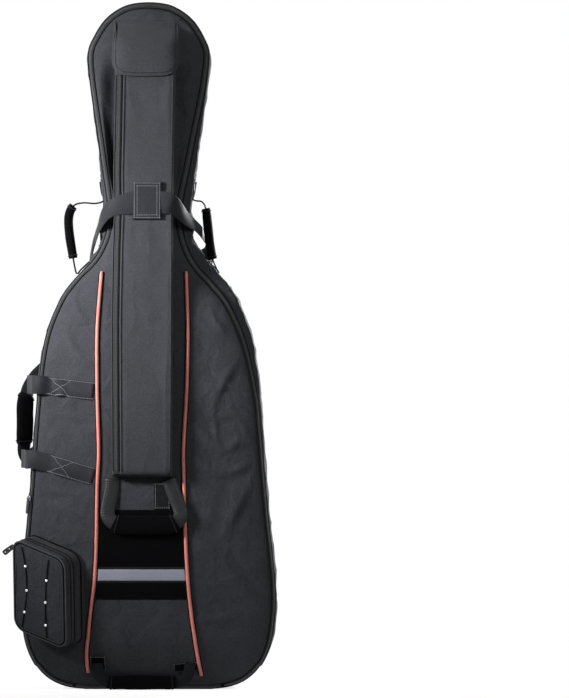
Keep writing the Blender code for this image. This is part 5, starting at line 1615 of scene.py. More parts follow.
@dataclass
class Handles:
    """The six carry handles and what sews them on."""

    front: Surface
    rear: Surface
    lift: float = 0.0018

    def build(self) -> None:
        """Builds the handles."""
        self.neck()
        self.top()
        self.side()
        self.front_grip()
        self.foot()

    def on_side(self, way: float, y: float, z: float, lift: float) -> Array:
        """Point of the gusset at (y, z)."""
        hit = self.rear.tree.ray_cast(Vector((way, y, z)), Vector((-way, 0, 0)))[0]
        return np.array([hit.x + way * lift, y, z])

    def neck(self) -> None:
        """A handle on each side of the neck."""
        tables = {
            -1: ((88, 954), (104, 948), (130, 949), (148, 943), (157, 922), (156, 890), (150, 850),
                 (145, 822), (141, 810)),
            1: ((86, 956), (93, 953), (104, 951), (111, 938), (115, 905), (119, 870), (125, 838),
                (132, 821), (137, 811)),
        }
        for way, side in ((-1, "left"), (1, "right")):
            knots = [self.on_side(way, 0, 0.990, self.lift), self.on_side(way, 0, 0.968, self.lift)]
            knots += [mm(way * x, 0, z) for x, z in tables[way]]
            knots += [self.on_side(way, 0, 0.819, 0.0040), self.on_side(way, 0, 0.834, 0.0032)]
            path = curve(np.array(knots), 8)
            length = arc(path)
            first, last = (
                length[np.argmin(np.linalg.norm(path - mm(way * x, 0, z), axis=1))]
                for x, z in (tables[way][3], tables[way][6]))
            Handle(f"neck_handle_{side}", f"neck_handle_{side}", "bag_body", path,
                   (first / length[-1], (last + 0.010 * (way < 0)) / length[-1]), 0.025,
                   (0.034, 0.018), side=np.array([0, 1.0, 0]), thick=0.0028,
                   finish=BLACK_WEBBING).build()
            self.patch_on_gusset(f"neck_patch_{side}", way, -0.022, 0.960, 0.994)

    def patch_on_gusset(self, name: str, way: float, y: float, low: float, high: float) -> None:
        """Square of webbing sewn on the gusset, where a handle starts."""
        z, across = np.linspace(low, high, 12), np.linspace(y - 0.016, y + 0.016, 9)
        grids = [np.array([[self.on_side(way, a, q, lift) for a in across] for q in z])
                 for lift in (0.0011, -0.0010)]
        dress(slab(name, *grids, WEBBING), "bag_body", "webbing")
        for k, column in enumerate((1, -2)):
            stitch_row(f"{name}_stitch_{k}", grids[0][:, column], np.array([way, 0.0, 0.0]), "bag_body")

    def top(self) -> None:
        """Carry handle across the back of the head."""
        first = self.rear.lay([(0.095, 1.222), (0.078, 1.225)], self.lift + 0.0016)[0]
        second = self.rear.lay([(-0.079, 1.248), (-0.094, 1.249)], self.lift + 0.0042)[0]
        knots = [mm(69, 76, 1229), mm(60, 91, 1231), mm(36, 97, 1234), mm(0, 98, 1238),
                 mm(-36, 97, 1243), mm(-60, 91, 1245), mm(-69, 76, 1247)]
        path = curve(np.vstack([first, knots, second]), 8)
        Handle("top_handle", "top_handle", "bag_body", path, (0.235, 0.80), 0.030, (0.042, 0.019),
               side=Z, finish=STRAP_WEBBING).build()
        for name, corners in (("top_patch_left", ((-105, 1232), (-74, 1232), (-74, 1266), (-105, 1266))),
                              ("top_patch_right", ((74, 1208), (104, 1208), (104, 1242), (74, 1242)))):
            SewnPatch(name, corners, 0.0024, STRAP_WEBBING, "bag_body", "webbing", (), 0.001,
                      stitched=((0.0030, "btlr"),)).build(self.rear)
        for k, (a, b) in enumerate((((-101, 1236), (-78, 1262)), ((-101, 1262), (-78, 1236)))):
            ends = np.array([a, b], float) / 1000
            row, out = self.rear.lay(ends[0] + (ends[1] - ends[0]) * np.linspace(0, 1, 12)[:, None],
                                     0.0026)
            stitch_row(f"top_patch_cross_{k}", row, out, "bag_body")

    def side(self) -> None:
        """Handle at the left side, sewn to the back, and the two webbings that meet it in front."""
        high, high_out = self.rear.lay([(-0.152, 0.668), (-0.170, 0.655), (-0.186, 0.643)],
                                       self.lift + 0.0008)
        low, low_out = self.rear.lay([(-0.196, 0.483), (-0.176, 0.490), (-0.153, 0.498)],
                                     self.lift + 0.0008)
        knots = [mm(-208, 117, 624), mm(-226, 104, 606), mm(-240, 84, 582), mm(-245, 70, 552),
                 mm(-245, 66, 518), mm(-246, 68, 486), mm(-247, 80, 460), mm(-238, 99, 450),
                 mm(-219, 116, 462)]
        ways = ([(-0.35, 1, 0), (-0.5, 1, 0)] + [(-0.6, 1, 0)] * 5 + [(-0.5, 1, 0), (-0.35, 1, 0)])
        path = curve(np.vstack([high, knots, low]), 8)
        outs = curve(np.vstack([high_out, np.array(ways, float), low_out]), 8)
        length = arc(path)
        first = length[np.argmin(np.abs(path[:, 2] - 0.570) + np.abs(path[:, 0] + 0.244))]
        last = length[np.argmin(np.abs(path[:, 2] - 0.478) + np.abs(path[:, 0] + 0.246))]
        Handle("side_handle", "side_handle", "bag_body", path,
               (first / length[-1], last / length[-1]), 0.030, (0.036, 0.016), out=outs).build()
        for part, z_in, z_out in (("upper", 0.581, 0.5935), ("lower", 0.416, 0.4480)):
            x = np.array([-0.106, -0.118, -0.130, -0.142, -0.155, -0.166, -0.178, -0.190])
            z = z_in + (z_out - z_in) * (-x - 0.106) / 0.11
            web, out = self.front.lay(np.stack([x, z], 1), self.lift)
            edge = self.on_side(-1, 0, z_out, 0)[0]
            knots = [(edge + 0.006, -0.112, z_out), (edge - 0.007, -0.098, z_out),
                     (edge - 0.010, -0.070, z_out), (edge - 0.011, -0.035, z_out),
                     (edge - 0.014, 0.000, z_out), (edge - 0.021, 0.035, z_out)]
            ways = [(-0.5, -0.9, 0), (-0.9, -0.5, 0)] + [(-1, 0, 0)] * 4
            path = curve(np.vstack([web, knots]), 5)
            outs = curve(np.vstack([out, np.array(ways, float)]), 5)
            line, ways = even(path, WEB_STEP, outs)
            tape(f"side_front_web_{part}", line, (0.036, 0.0022), WEBBING, "cover", ways, "webbing",
                 (f"side_handle_front_web_{part}",))
            across, face = frames(path, outs, None)
            sewn = int(np.argmin(np.abs(arc(path) - 0.095)))
            for k, shift in enumerate((-0.0155, 0.0155, 0.0)):
                row = path[:sewn] + across[:sewn] * shift + face[:sewn] * 0.0013
                if shift:
                    stitch_row(f"side_front_web_{part}_row_{k}", row, face[:sewn], "cover")
            for k, flip in enumerate((1, -1)):
                n = np.linspace(int(sewn * 0.52), sewn - 2, 14).astype(int)
                shift = np.linspace(-0.0145, 0.0145, 14) * flip
                row = path[n] + across[n] * shift[:, None] + face[n] * 0.0013
                stitch_row(f"side_front_web_{part}_cross_{k}", row, face[n], "cover")

    def front_grip(self) -> None:
        """Handle hanging below the bow pocket, its webbings turned on the slant."""
        knots = ((-68, 412, 2), (-70, 388, 4), (-77, 354, 9), (-76, 337, 12), (-61, 324, 13.5),
                 (-30, 322, 13.5), (0, 322, 13.5), (30, 322, 13.5), (50, 324, 13.5), (64, 337, 12.5),
                 (62, 354, 10), (50, 385, 6), (41, 411, 3))
        path = []
        for x, z, lift in knots:
            hit = self.front.at(x / 1000, z / 1000)[0]
            path.append([x / 1000, hit[1] - lift / 1000, z / 1000])
        path = curve(np.array(path), 8)
        Handle("front_handle", "front_handle", "cover", path, (0.30, 0.70), 0.028, (0.036, 0.015),
               out=-Y, finish=GLOSSY_WEBBING).build()
        SewnPatch("front_handle_patch", ((12, 352), (44, 352), (44, 404), (12, 404)), 0.0026, BLACK_WEBBING,
                  "cover", "webbing", (), 0.001, stitched=((0.003, "btlr"),)).build(self.front)

    def foot(self) -> None:
        """Handle at the foot, between two outlined patches."""
        first = self.front.lay([(-0.098, 0.054)], self.lift + 0.0016)[0]
        last = self.front.lay([(0.082, 0.054)], self.lift + 0.0016)[0]
        knots = [mm(-97, -116, 36), mm(-92, -114, 24), mm(-78, -112, 15.5), mm(-50, -111, 15),
                 mm(-18, -111, 15), mm(20, -111, 15), mm(42, -111, 15), mm(64, -112, 17),
                 mm(76, -114, 26), mm(80, -117, 38)]
        path = curve(np.vstack([first, knots, last]), 8)
        Handle("foot_handle", "foot_handle", "cover", path, (0.20, 0.77), 0.022, (0.028, 0.013),
               out=-Y, finish=BLACK_WEBBING).build()
        for name, corners in (("foot_patch_left", ((-112, 38), (-82, 42), (-84, 66), (-112, 66))),
                              ("foot_patch_right", ((50, 38), (98, 40), (98, 56), (50, 52)))):
            SewnPatch(name, corners, 0.0020, BLACK, "cover", "deep_nylon", (), 0.001,
                      stitched=((0.0008, "tlr"),)).build(self.front)


def pebble(name: str, centre: Array, along: Array, out: Array, size: tuple, finish: Finish,
           taper: float = 1.0, power: float = 4.0) -> bpy.types.Object:
    """Small moulded or cast body with rounded edges.

    Args:
        name: the piece's name.
        centre: its middle.
        along: the way its length runs.
        out: the way its flat side faces.
        size: length, width and thickness in metres.
        finish: its finish.
        taper: width at its far end as a share of that at its near end.
        power: how square its corners are.

    Returns:
        The object.
    """
    along = unit(along)
    length, width, thick = size
    t = 0.5 - 0.5 * np.cos(np.linspace(0.02, math.pi - 0.02, 22))
    path = centre + along * (t[:, None] - 0.5) * length
    scale = (1 - np.abs(2 * t - 1) ** power) ** (1 / power) * (1 + (taper - 1) * t)
    return sweep(name, path, pad_section(width, thick, 20, power), finish, out=out,
                 scale=np.maximum(scale, 0.05))


def joined(first: bpy.types.Object, *others: bpy.types.Object) -> bpy.types.Object:
    """Adds other objects' meshes to the first one's."""
    work = bmesh.new()
    for obj in (first, *others):
        work.from_mesh(obj.data)
    work.to_mesh(first.data)
    work.free()
    for obj in others:
        bpy.data.objects.remove(obj)
    return first


class Run:
    """Route of a webbing: a base curve and the way it lies across, for pieces threaded on it."""

    def __init__(self, base: Array, sides: Array) -> None:
        """Keeps the curve and measures it."""
        self.base = base
        self.sides = sides
        self.lengths = arc(base)
        self.total = float(self.lengths[-1])

    def at(self, knots: list) -> tuple[Array, Array, Array]:
        """Points over the curve, with their across and out directions.

        Args:
            knots: (distance along the curve, height above it) pairs.

        Returns:
            The points, the across directions and the out directions.
        """
        distance, height = np.array(knots, float).T
        k = np.clip(np.searchsorted(self.lengths, distance) - 1, 0, len(self.base) - 2)
        t = (distance - self.lengths[k]) / (self.lengths[k + 1] - self.lengths[k])
        run = self.base[k + 1] - self.base[k]
        side = unit(self.sides[k] + (self.sides[k + 1] - self.sides[k]) * np.clip(t, 0, 1)[:, None])
        out = unit(np.cross(side, unit(run)))
        return self.base[k] + run * t[:, None] + out * height[:, None], side, out


@dataclass
class Fittings:
    """Black-nickel rings, snap hooks and slide adjusters, and how webbing passes through them."""

    ring_wire: float = 0.0021
    ring_half: float = 0.0165
    ring_bow: float = 0.0205
    bow_start: float = 0.003
    hook_reach: float = 0.046
    hook_loop: float = 0.0068
    hook_wire: float = 0.0019
    webbing: float = 0.0022
    strap: float = 0.024

    @property
    def hook_seat(self) -> float:
        """Distance from the ring's wire to the middle of the hook's loop."""
        return self.hook_loop - self.hook_wire - self.ring_wire - 0.0017

    def ring(self, name: str, centre: Array, bow: Array, body: str) -> bpy.types.Object:
        """D-ring: a straight bar with a bow on one side."""
        half = self.ring_half
        path = [centre - X * half * 0.86, centre, centre + X * half * 0.86]
        path += [self.on_bow(centre, bow, a) for a in np.linspace(12, 168, 23)]
        path = curve(np.array(path), 3, closed=True)
        made = sweep(name + "_wire", path, round_section(self.ring_wire, 12), BLACK_NICKEL,
                     out=np.cross(X, bow), closed=True)
        return dress(made, body, "dark_metal", name)

    def on_bow(self, bar: Array, bow: Array, degrees: float, way: float = 1.0) -> Array:
        """Point of a ring's bow at an angle from the end of its bar on the side `way`."""
        angle = math.radians(degrees)
        return (bar + X * way * self.ring_half * math.cos(angle)
                + bow * (self.bow_start + self.ring_bow * math.sin(angle)))

    def hook(self, name: str, eye: Array, end: Array, across: Array, body: str) -> bpy.types.Object:
        """Swivelling snap hook on the ring wire at `eye`, its strap bar at `end`."""
        along = unit(end - eye)
        centre = eye + along * self.hook_seat
        out = unit(np.cross(across, along))
        across = unit(np.cross(along, out))
        reach = float(np.linalg.norm(end - eye))
        size = self.hook_loop
        claw, gate = (np.array([centre + across * size * math.cos(a) + along * size * math.sin(a)
                                for a in np.linspace(math.radians(start), math.radians(stop), count)])
                      for start, stop, count in ((75, 395, 40), (30, 88, 12)))
        thick = 1.25 - 0.45 * np.linspace(0, 1, 40)
        parts = [sweep(name + "_claw", claw, round_section(self.hook_wire, 12), BLACK_NICKEL, out=out,
                       scale=thick)]
        parts.append(sweep("gate", gate, pad_section(0.0024, 0.0030, 10), BLACK_NICKEL, out=out))
        thumb = centre + across * (size * 0.80) + along * (size * 0.95)
        parts.append(pebble("thumb", thumb + across * 0.0028, across, out, (0.0062, 0.0030, 0.0030),
                            BLACK_NICKEL))
        rows = ((self.hook_loop - 0.0006, 0.9), (0.0080, 1.5), (0.0096, 2.0), (0.0120, 2.15),
                (0.0134, 1.9), (0.0138, 1.25), (0.0150, 1.2), (0.0156, 1.9), (0.0172, 2.1),
                (reach - self.hook_seat - 0.0108, 1.9), (reach - self.hook_seat - 0.0085, 1.2))
        low = self.hook_seat
        stem = np.array([centre + along * d for d, _ in rows])
        parts.append(sweep("stem", stem, round_section(self.hook_wire, 14), BLACK_NICKEL, out=out,
                           scale=np.array([s for _, s in rows])))
        half = self.strap / 2 + 0.0032
        near, far = reach - low - 0.0095, reach - low
        corners = [(-half, near), (half, near), (half, far), (-half, far)]
        frame_path = self.rounded(centre, across, along, corners, 0.0030)
        parts.append(sweep("strap_bar", frame_path, round_section(0.0021, 10), BLACK_NICKEL, out=out,
                           closed=True))
        return dress(joined(*parts), body, "dark_metal", name)

    @staticmethod
    def rounded(centre: Array, across: Array, along: Array, corners: list, radius: float) -> Array:
        """Closed path through corners, each rounded."""
        points = []
        c = np.array(corners, float)
        for k in range(len(c)):
            before, here, after = c[k - 1], c[k], c[(k + 1) % len(c)]
            a = here + unit(before - here) * radius
            b = here + unit(after - here) * radius
            for t in np.linspace(0, 1, 6):
                points.append(a * (1 - t) ** 2 + here * 2 * t * (1 - t) + b * t**2)
        p = np.array(points)
        return centre + across * p[:, :1] + along * p[:, 1:]

    def adjuster(self, name: str, run: Run, middle: float, body: str) -> bpy.types.Object:
        """Slide adjuster: a flat frame with a bar across its middle."""
        (centre, ahead), (side, _), _ = run.at([(middle, 0), (middle + 0.001, 0)])
        along = unit(ahead - centre)
        out = unit(np.cross(side, along))
        half, reach = self.strap / 2 + 0.0027, 0.0120
        corners = [(-half, -reach), (half, -reach), (half, reach), (-half, reach)]
        frame_path = self.rounded(centre, side, along, corners, 0.0042)
        parts = [sweep(name + "_frame", frame_path, pad_section(0.0030, 0.0028, 12, 3.2),
                       BLACK_NICKEL, out=out, closed=True)]
        bar = np.array([centre - side * half, centre, centre + side * half])
        parts.append(sweep("bar", bar, pad_section(0.0030, 0.0026, 12, 3.0), BLACK_NICKEL, out=out))
        return dress(joined(*parts), body, "dark_metal", name)

    @staticmethod
    def weave(middle: float) -> list:
        """Knots where a strap passes under, over and under the bars of an adjuster."""
        return [(middle + s, h) for s, h in ((-0.0165, -0.0034), (-0.0105, -0.0030), (-0.0030, 0.0032),
                                             (0.0030, 0.0032), (0.0105, -0.0030), (0.0165, -0.0034))]

    def loop_end(self, length: float, bar: float = 0.0021) -> list:
        """Knots of a strap's end turned round a bar and sewn back on itself."""
        reach = bar + self.webbing / 2 + 0.0005
        turn = [(length + reach * math.sin(a), reach * math.cos(a)) for a in np.linspace(0, math.pi, 5)]
        return [(length - 0.016, 0.0014), (length - 0.008, 0.0022)] + turn + [
            (length - 0.008, -0.0026), (length - 0.018, -0.0020)]

    def strap_on(self, name: str, run: Run, knots: list, finish: ClothFinish,
                 broad: float = 1.0) -> bpy.types.Object:
        """Webbing threaded along a route, its bends smooth.

        Args:
            name: the piece's name.
            run: the route.
            knots: (distance, height) along it.
            finish: the webbing.
            broad: how much wider it lies where it crosses the front near x = 0.

        Returns:
            The webbing.
        """
        points, sides, _ = run.at(knots)
        path = curve(points, 5)
        across = curve(sides, 5)
        path, across = even(path, 0.0022, across)
        front = bell(path[:, 0], -0.002, 0.060) * (path[:, 1] < -0.05)
        wide = 1 + (broad - 1) * np.minimum(1, 1.5 * front)
        return sweep(name, path, web_section(self.strap, self.webbing), finish, side=across,
                     scale=np.stack([wide, 0 * wide + 1], 1))


@dataclass
class BackTrim:
    """Mesh pad, music pocket with its band, strap yoke and lower band on the back."""

    rear: Surface
    tub: bpy.types.Object
    cell: float = 0.0052

    def build(self) -> None:
        """Lays the pieces on the back panel."""
        pad = SewnPatch("mesh_pad_foam", ((-104, 416), (125, 416), (83, 642), (-79, 642)), 0.0098,
                        MESH_FOAM, "bag_body", "spacer_mesh", ("mesh_back_pad",), 0.016, 0.005, 0.0012, 17)
        foam = pad.build(self.rear)
        self.cells(pad, Surface(Facing.BACK, foam))
        self.border(pad, Surface(Facing.BACK, foam))
        pocket = SewnPatch("music_pocket_cloth", ((-166, 140), (160, 140), (165, 400), (-138, 400)),
                           0.0060, NYLON_PLAIN, "bag_body", "nylon", ("music_pocket",), 0.022, 0.005,
                           0.0022, 19)
        cloth = pocket.build(self.rear)
        SewnPatch("music_pocket_band_cloth", ((-132, 357), (158, 357), (155, 412), (-128, 412)), 0.0042,
                  NYLON_PLAIN, "bag_body", "nylon", ("music_pocket_band",), 0.004, 0.005, 0.0010, 21,
                  ((0.004, "btlr"),)).build(Surface(Facing.BACK, self.tub, cloth))
        band = SewnPatch("lower_band_webbing", ((-178, 76), (182, 76), (182, 127), (-178, 127)), 0.0030,
                         WEBBING, "bag_body", "webbing", ("lower_band",), 0.002, 0.006, 0.0, 3,
                         ((0.0035, "btlr"), (0.018, "bt")))
        band.build(self.rear)
        yoke = SewnPatch("strap_yoke_webbing", ((-56, 735), (22, 735), (22, 784), (-56, 784)), 0.0044,
                         WEBBING, "bag_body", "webbing", ("strap_yoke",), 0.003, 0.004, 0.0, 3,
                         ((0.0035, "btlr"), (0.011, "bt"), (0.018, "bt")))
        yoke.build(self.rear)
        self.seams()

    def cells(self, pad: SewnPatch, surface: Surface) -> None:
        """Open hexagons of the spacer mesh."""
        r = self.cell / math.sqrt(3)
        a, b, c, d = pad.quad()
        places = []
        for k, x in enumerate(np.arange(a[0], b[0], 1.5 * r)):
            for z in np.arange(a[1] + 0.006, d[1] - 0.006, self.cell) + (k % 2) * self.cell / 2:
                t = (z - a[1]) / (d[1] - a[1])
                low = a[0] + (d[0] - a[0]) * t + 0.007
                high = b[0] + (c[0] - b[0]) * t - 0.007
                if low < x < high and z < d[1] - 0.006:
                    places.append((x, z))
        point, normal = surface.lay(np.array(places), 0.0002)
        made = CELLS.set("mesh_pad_cells", point, normal, X, (r, 0.00055, 0.0), MESH_THREAD)
        dress(made, "bag_body")

    def border(self, pad: SewnPatch, surface: Surface) -> None:
        """Bound edge of the mesh pad."""
        t = np.linspace(0, 1, 60)
        zero = 0 * t
        edges = ((t, zero + 0.012), (zero + 0.988, t), (1 - t, zero + 0.988), (zero + 0.012, 1 - t))
        for k, (u, v) in enumerate(edges):
            point, normal = surface.lay(pad.place(u, v), 0.0)
            tape(f"mesh_pad_edge_{k + 1}", point, (0.0070, 0.0016), NYLON_PLAIN if k == 2 else BINDING_AND_SHADE,
                 "bag_body", normal)
            stitch_row(f"mesh_pad_edge_stitch_{k + 1}", point + normal * 0.0010, normal, "bag_body",
                       THREAD if k == 2 else DARK_THREAD)

    def seams(self) -> None:
        """Two sewn lines across the back above the mesh pad."""
        for k, z in enumerate((0.681, 0.648)):
            x = np.linspace(-0.150 - 0.02 * k, 0.165 + 0.02 * k, 90)
            point, normal = self.rear.lay(np.stack([x, 0 * x + z], 1), 0.0)
            cord(f"back_seam_line_{k + 1}", point, 0.0011, BINDING_AND_SHADE, "bag_body", normal, 6)
            stitch_row(f"back_seam_line_stitch_{k + 1}", point + normal * 0.0004 - Z * 0.004, normal,
                       "bag_body", DARK_THREAD)


@dataclass
class ShoulderStraps:
    """Two padded shoulder straps with their webbing, adjusters, hooks and rings."""

    rear: Surface
    fittings: Fittings
    eyes: dict = field(default_factory=dict)
    pad: tuple = (0.046, 0.011)
    pads: tuple = (
        ("right", ((25, 770, 6.6), (45, 768, 7), (66, 755, 8), (81, 730, 11), (94, 690, 15),
                   (105, 640, 19), (113, 575, 20), (127, 505, 20), (141, 455, 20), (154, 414, 19))),
        ("left", ((-63, 764, 6.6), (-74, 759, 7), (-87, 744, 8), (-96, 716, 11), (-102, 680, 15),
                  (-107, 640, 19), (-112, 575, 20), (-120, 495, 20), (-133, 430, 20), (-148, 372, 19))),
    )
    webs: tuple = (
        ((155, 404, 19), (163, 365, 18), (172, 320, 17), (186, 262, 16), (199, 205, 17), (210, 150, 18),
         (216, 118, 19), (214, 106, 20)),
        ((-150, 362, 18), (-160, 330, 17), (-174, 290, 16), (-188, 235, 16), (-202, 180, 17),
         (-213, 138, 18), (-217, 112, 19), (-214, 101, 20)),
    )
    reflectors: tuple = ((0.603, 0.521, -0.005), (0.585, 0.505, 0.005))
    adjusters: tuple = (0.150, 0.098)
    low_rings: tuple = ((0.158, 0.132), (-0.160, 0.131))
    high_rings: tuple = ((0.0865, 0.738), (-0.1000, 0.710))
    twist_from: float = 0.62
    twist_over: float = 0.22
    web_stitch: float = 0.0128
    tack_half: float = 0.0125
    tack_every: float = 0.075
    binding_at: float = 0.0225

    def behind(self, places: tuple) -> Array:
        """Points behind the back at (x, z, lift) places in mm."""
        return np.array([[x / 1000, self.rear.at(x / 1000, z / 1000)[0][1] + lift / 1000, z / 1000]
                         for x, z, lift in places])

    def build(self) -> None:
        """Both straps."""
        for k, (side, places) in enumerate(self.pads):
            self.padded_part(side, places, k)
            self.lower_part(side, k)

    def padded_part(self, side: str, places: tuple, k: int) -> None:
        """Padded strap with puckered edges, webbing down its middle and a reflective patch."""
        body = f"shoulder_strap_{side}"
        knots = self.behind(places)
        path = even(curve(knots, 8), 0.003)[0]
        outs = self.rear.lay(path[:, [0, 2]], 0.0)[1]
        ease = ramp(arc(path), 0, 0.10)[:, None]
        outs = unit(outs * (1 - ease) + Y * ease)
        across, face = frames(path, outs, None)
        length = arc(path)
        # Stitching beside the webbing draws the pad in, so its two edges swell and pucker
        turn = (np.arange(44) + 0.5) * 2 * math.pi / 44
        c, s = np.cos(turn), np.sin(turn)
        a = np.sign(c) * np.abs(c) ** (2 / 2.8)
        b = np.sign(s) * np.abs(s) ** (2 / 2.2)
        points = []
        ends = np.minimum(length, length[-1] - length)
        full = 0.55 + 0.45 * np.sqrt(ramp(ends, -0.004, 0.020))
        for n in range(len(path)):
            d = length[n]
            pucker = 0.5 + 0.5 * math.sin(2 * math.pi * d / 0.0135 + 1.3 * math.sin(d * 55))
            edge = np.abs(a) ** 6
            wide = self.pad[0] / 2 * (1 - 0.09 * pucker * edge) * (0.86 + 0.14 * full[n])
            wide = wide * (1 + 0.30 * (1 - ramp(d, 0.030, 0.085)))
            seam = bell(np.abs(a), 0.60, 0.09)
            rise = self.pad[1] / 2 * full[n] * (1 - 0.30 * seam) * (1 + 0.24 * pucker * np.abs(a) ** 2)
            points.append(path[n] + across[n] * (a * wide)[:, None] + face[n] * (b * rise)[:, None])
        grid = np.array(points)
        rows, sides = grid.shape[:2]
        faces = grid_faces(rows, sides, wrap=True)
        faces += [tuple(reversed(range(sides))), tuple((rows - 1) * sides + q for q in range(sides))]
        uv = np.stack(np.broadcast_arrays(np.cumsum(np.full(sides, 0.0026))[None], length[:, None]), -1)
        made = body_mesh(f"shoulder_pad_{side}_cloth", grid.reshape(-1, 3), faces, NYLON_PLAIN, uv)
        start, away = path[0], unit(path[8] - path[0])
        bend = ("bag_body", start + away * 0.002, start + away * 0.055)
        dress(made, body, "nylon", f"shoulder_pad_{side}", bend=bend)
        lift = self.pad[1] / 2
        keep = slice(2, -2)
        web = sweep(f"shoulder_webbing_{side}", (path + face * (lift - 0.0002))[keep],
                    web_section(0.0300, 0.0020), STRAP_WEBBING, out=face[keep])
        dress(web, body, bend=bend)
        for row, shift in enumerate((-self.web_stitch, self.web_stitch)):
            line = (path + across * shift + face * (lift + 0.0009))[24:-4]
            stitch_row(f"shoulder_webbing_{side}_stitch_{row}", line, face[24:-4], body)
        for edge, shift in enumerate((-self.binding_at, self.binding_at)):
            line = (path + across * shift)[12:-3]
            cord(f"shoulder_pad_{side}_binding_{edge}", line, 0.0016, BINDING_AND_SHADE, body, face[12:-3])
        self.bar_tacks(side, path, across, face, lift, body)
        self.reflector(side, k, path, across, face, lift, body)
        self.high_ring(side, k, path, lift)

    def bar_tacks(self, side: str, path: Array, across: Array, face: Array, lift: float,
                  body: str) -> None:
        """Dense rows of thread across the webbing, every 75 mm."""
        length = arc(path)
        points, ways, outs = [], [], []
        for d in np.arange(0.10, length[-1] - 0.01, self.tack_every):
            for step in (0, 1, 2):
                n = int(np.searchsorted(length, d)) + step
                for shift in np.linspace(-self.tack_half, self.tack_half, 12):
                    points.append(path[n] + across[n] * shift + face[n] * (lift + 0.0011))
                    ways.append(across[n])
                    outs.append(face[n])
        made = BLOCKS.set(f"shoulder_bar_tacks_{side}", np.array(points), np.array(outs),
                          np.array(ways), (0.0019, 0.0009, 0.0008), THREAD)
        dress(made, body)

    def reflector(self, side: str, k: int, path: Array, across: Array, face: Array, lift: float,
                  body: str) -> None:
        """Reflective patch sewn over the pad."""
        top, low, shift = self.reflectors[k]
        first = int(np.argmin(np.abs(path[:, 2] - top)))
        last = int(np.argmin(np.abs(path[:, 2] - low)))
        span = slice(first, last + 1)
        line = (path + across * shift + face * (lift + 0.0018))[span]
        tape(f"reflector_{side}_cloth", line, (0.026, 0.0012), REFLECTIVE, body, face[span],
             "reflective_cloth", (f"reflector_{side}",))
        for row, edge in enumerate((-0.0112, 0.0112)):
            stitch_row(f"reflector_{side}_stitch_{row}", line + across[span] * edge + face[span] * 0.0005,
                       face[span], body, DARK_THREAD)

    def high_ring(self, side: str, k: int, path: Array, lift: float) -> None:
        """Ring for the neck strap's hook, held to the pad by a tab."""
        x, z = self.high_rings[k]
        turn = -1 if side == "left" else 1
        n = int(np.argmin(np.abs(path[:, 2] - z)))
        bar = np.array([x, path[n, 1] + lift + 0.0036, z])
        self.tab(f"high_ring_tab_{side}", bar, f"shoulder_strap_{side}", 0.012)
        bow = unit(np.array([0, 0.72, 0.70]))
        self.fittings.ring(f"high_ring_{side}", bar, bow, f"high_ring_{side}")
        self.eyes[side] = self.fittings.on_bow(bar, bow, 70, turn)

    def tab(self, name: str, bar: Array, body: str, reach: float) -> None:
        """Webbing tab turned over the bar of a ring, both ends sewn down below it."""
        r = self.fittings.ring_wire + 0.0013
        turn = np.linspace(-0.35 * math.pi, 0.85 * math.pi, 14)
        path = [bar - Y * r - Z * reach, bar - Y * r * 0.98 - Z * reach * 0.4]
        path += [bar - Y * r * math.cos(a) + Z * r * math.sin(a) for a in turn[3:]]
        path += [bar + Y * r * 0.5 - Z * reach * 0.5, bar - Y * (r - 0.0024) - Z * reach]
        path = curve(np.array(path), 3)
        made = sweep(name, path, web_section(0.016, 0.0018), WEBBING, side=X)
        dress(made, body, "webbing")

    def lower_part(self, side: str, k: int) -> None:
        """Adjustable webbing from the pad to the hook at the lower band."""
        body = f"shoulder_strap_{side}"
        turn = -1 if side == "left" else 1
        base = curve(self.behind(self.webs[k]), 6)
        length = arc(base)
        twist = np.clip((length / length[-1] - self.twist_from) / self.twist_over, 0, 1) * math.pi / 2
        along = unit(np.gradient(base, axis=0))
        flat = unit(np.cross(along, Y))
        sides = flat * np.cos(twist)[:, None] + Y * (np.sin(twist) * turn)[:, None]
        run = Run(base, sides)
        middle = self.adjusters[k]
        knots = [(d, 0) for d in np.linspace(0, middle - 0.03, 8)]
        knots += self.fittings.weave(middle)
        knots += [(d, 0) for d in np.linspace(middle + 0.03, run.total - 0.034, 12)]
        knots += self.fittings.loop_end(run.total)
        web = self.fittings.strap_on(f"strap_webbing_{side}", run, knots, WEBBING)
        dress(web, body, "webbing", f"strap_web_{side}")
        self.fittings.adjuster(f"strap_adjuster_{side}", run, middle, f"strap_adjuster_{side}")
        x, z = self.low_rings[k]
        bar = np.array([x, self.rear.at(x, z)[0][1] + 0.0072, z])
        self.tab(f"low_ring_tab_{side}", bar, "bag_body", 0.0135)
        bow = unit(np.array([0, 0.42, -0.90]))
        self.fittings.ring(f"low_ring_{side}", bar, bow, f"low_ring_{side}")
        eye = self.fittings.on_bow(bar, bow, 50, turn)
        self.fittings.hook(f"low_hook_{side}", eye, base[-1], Y, body)


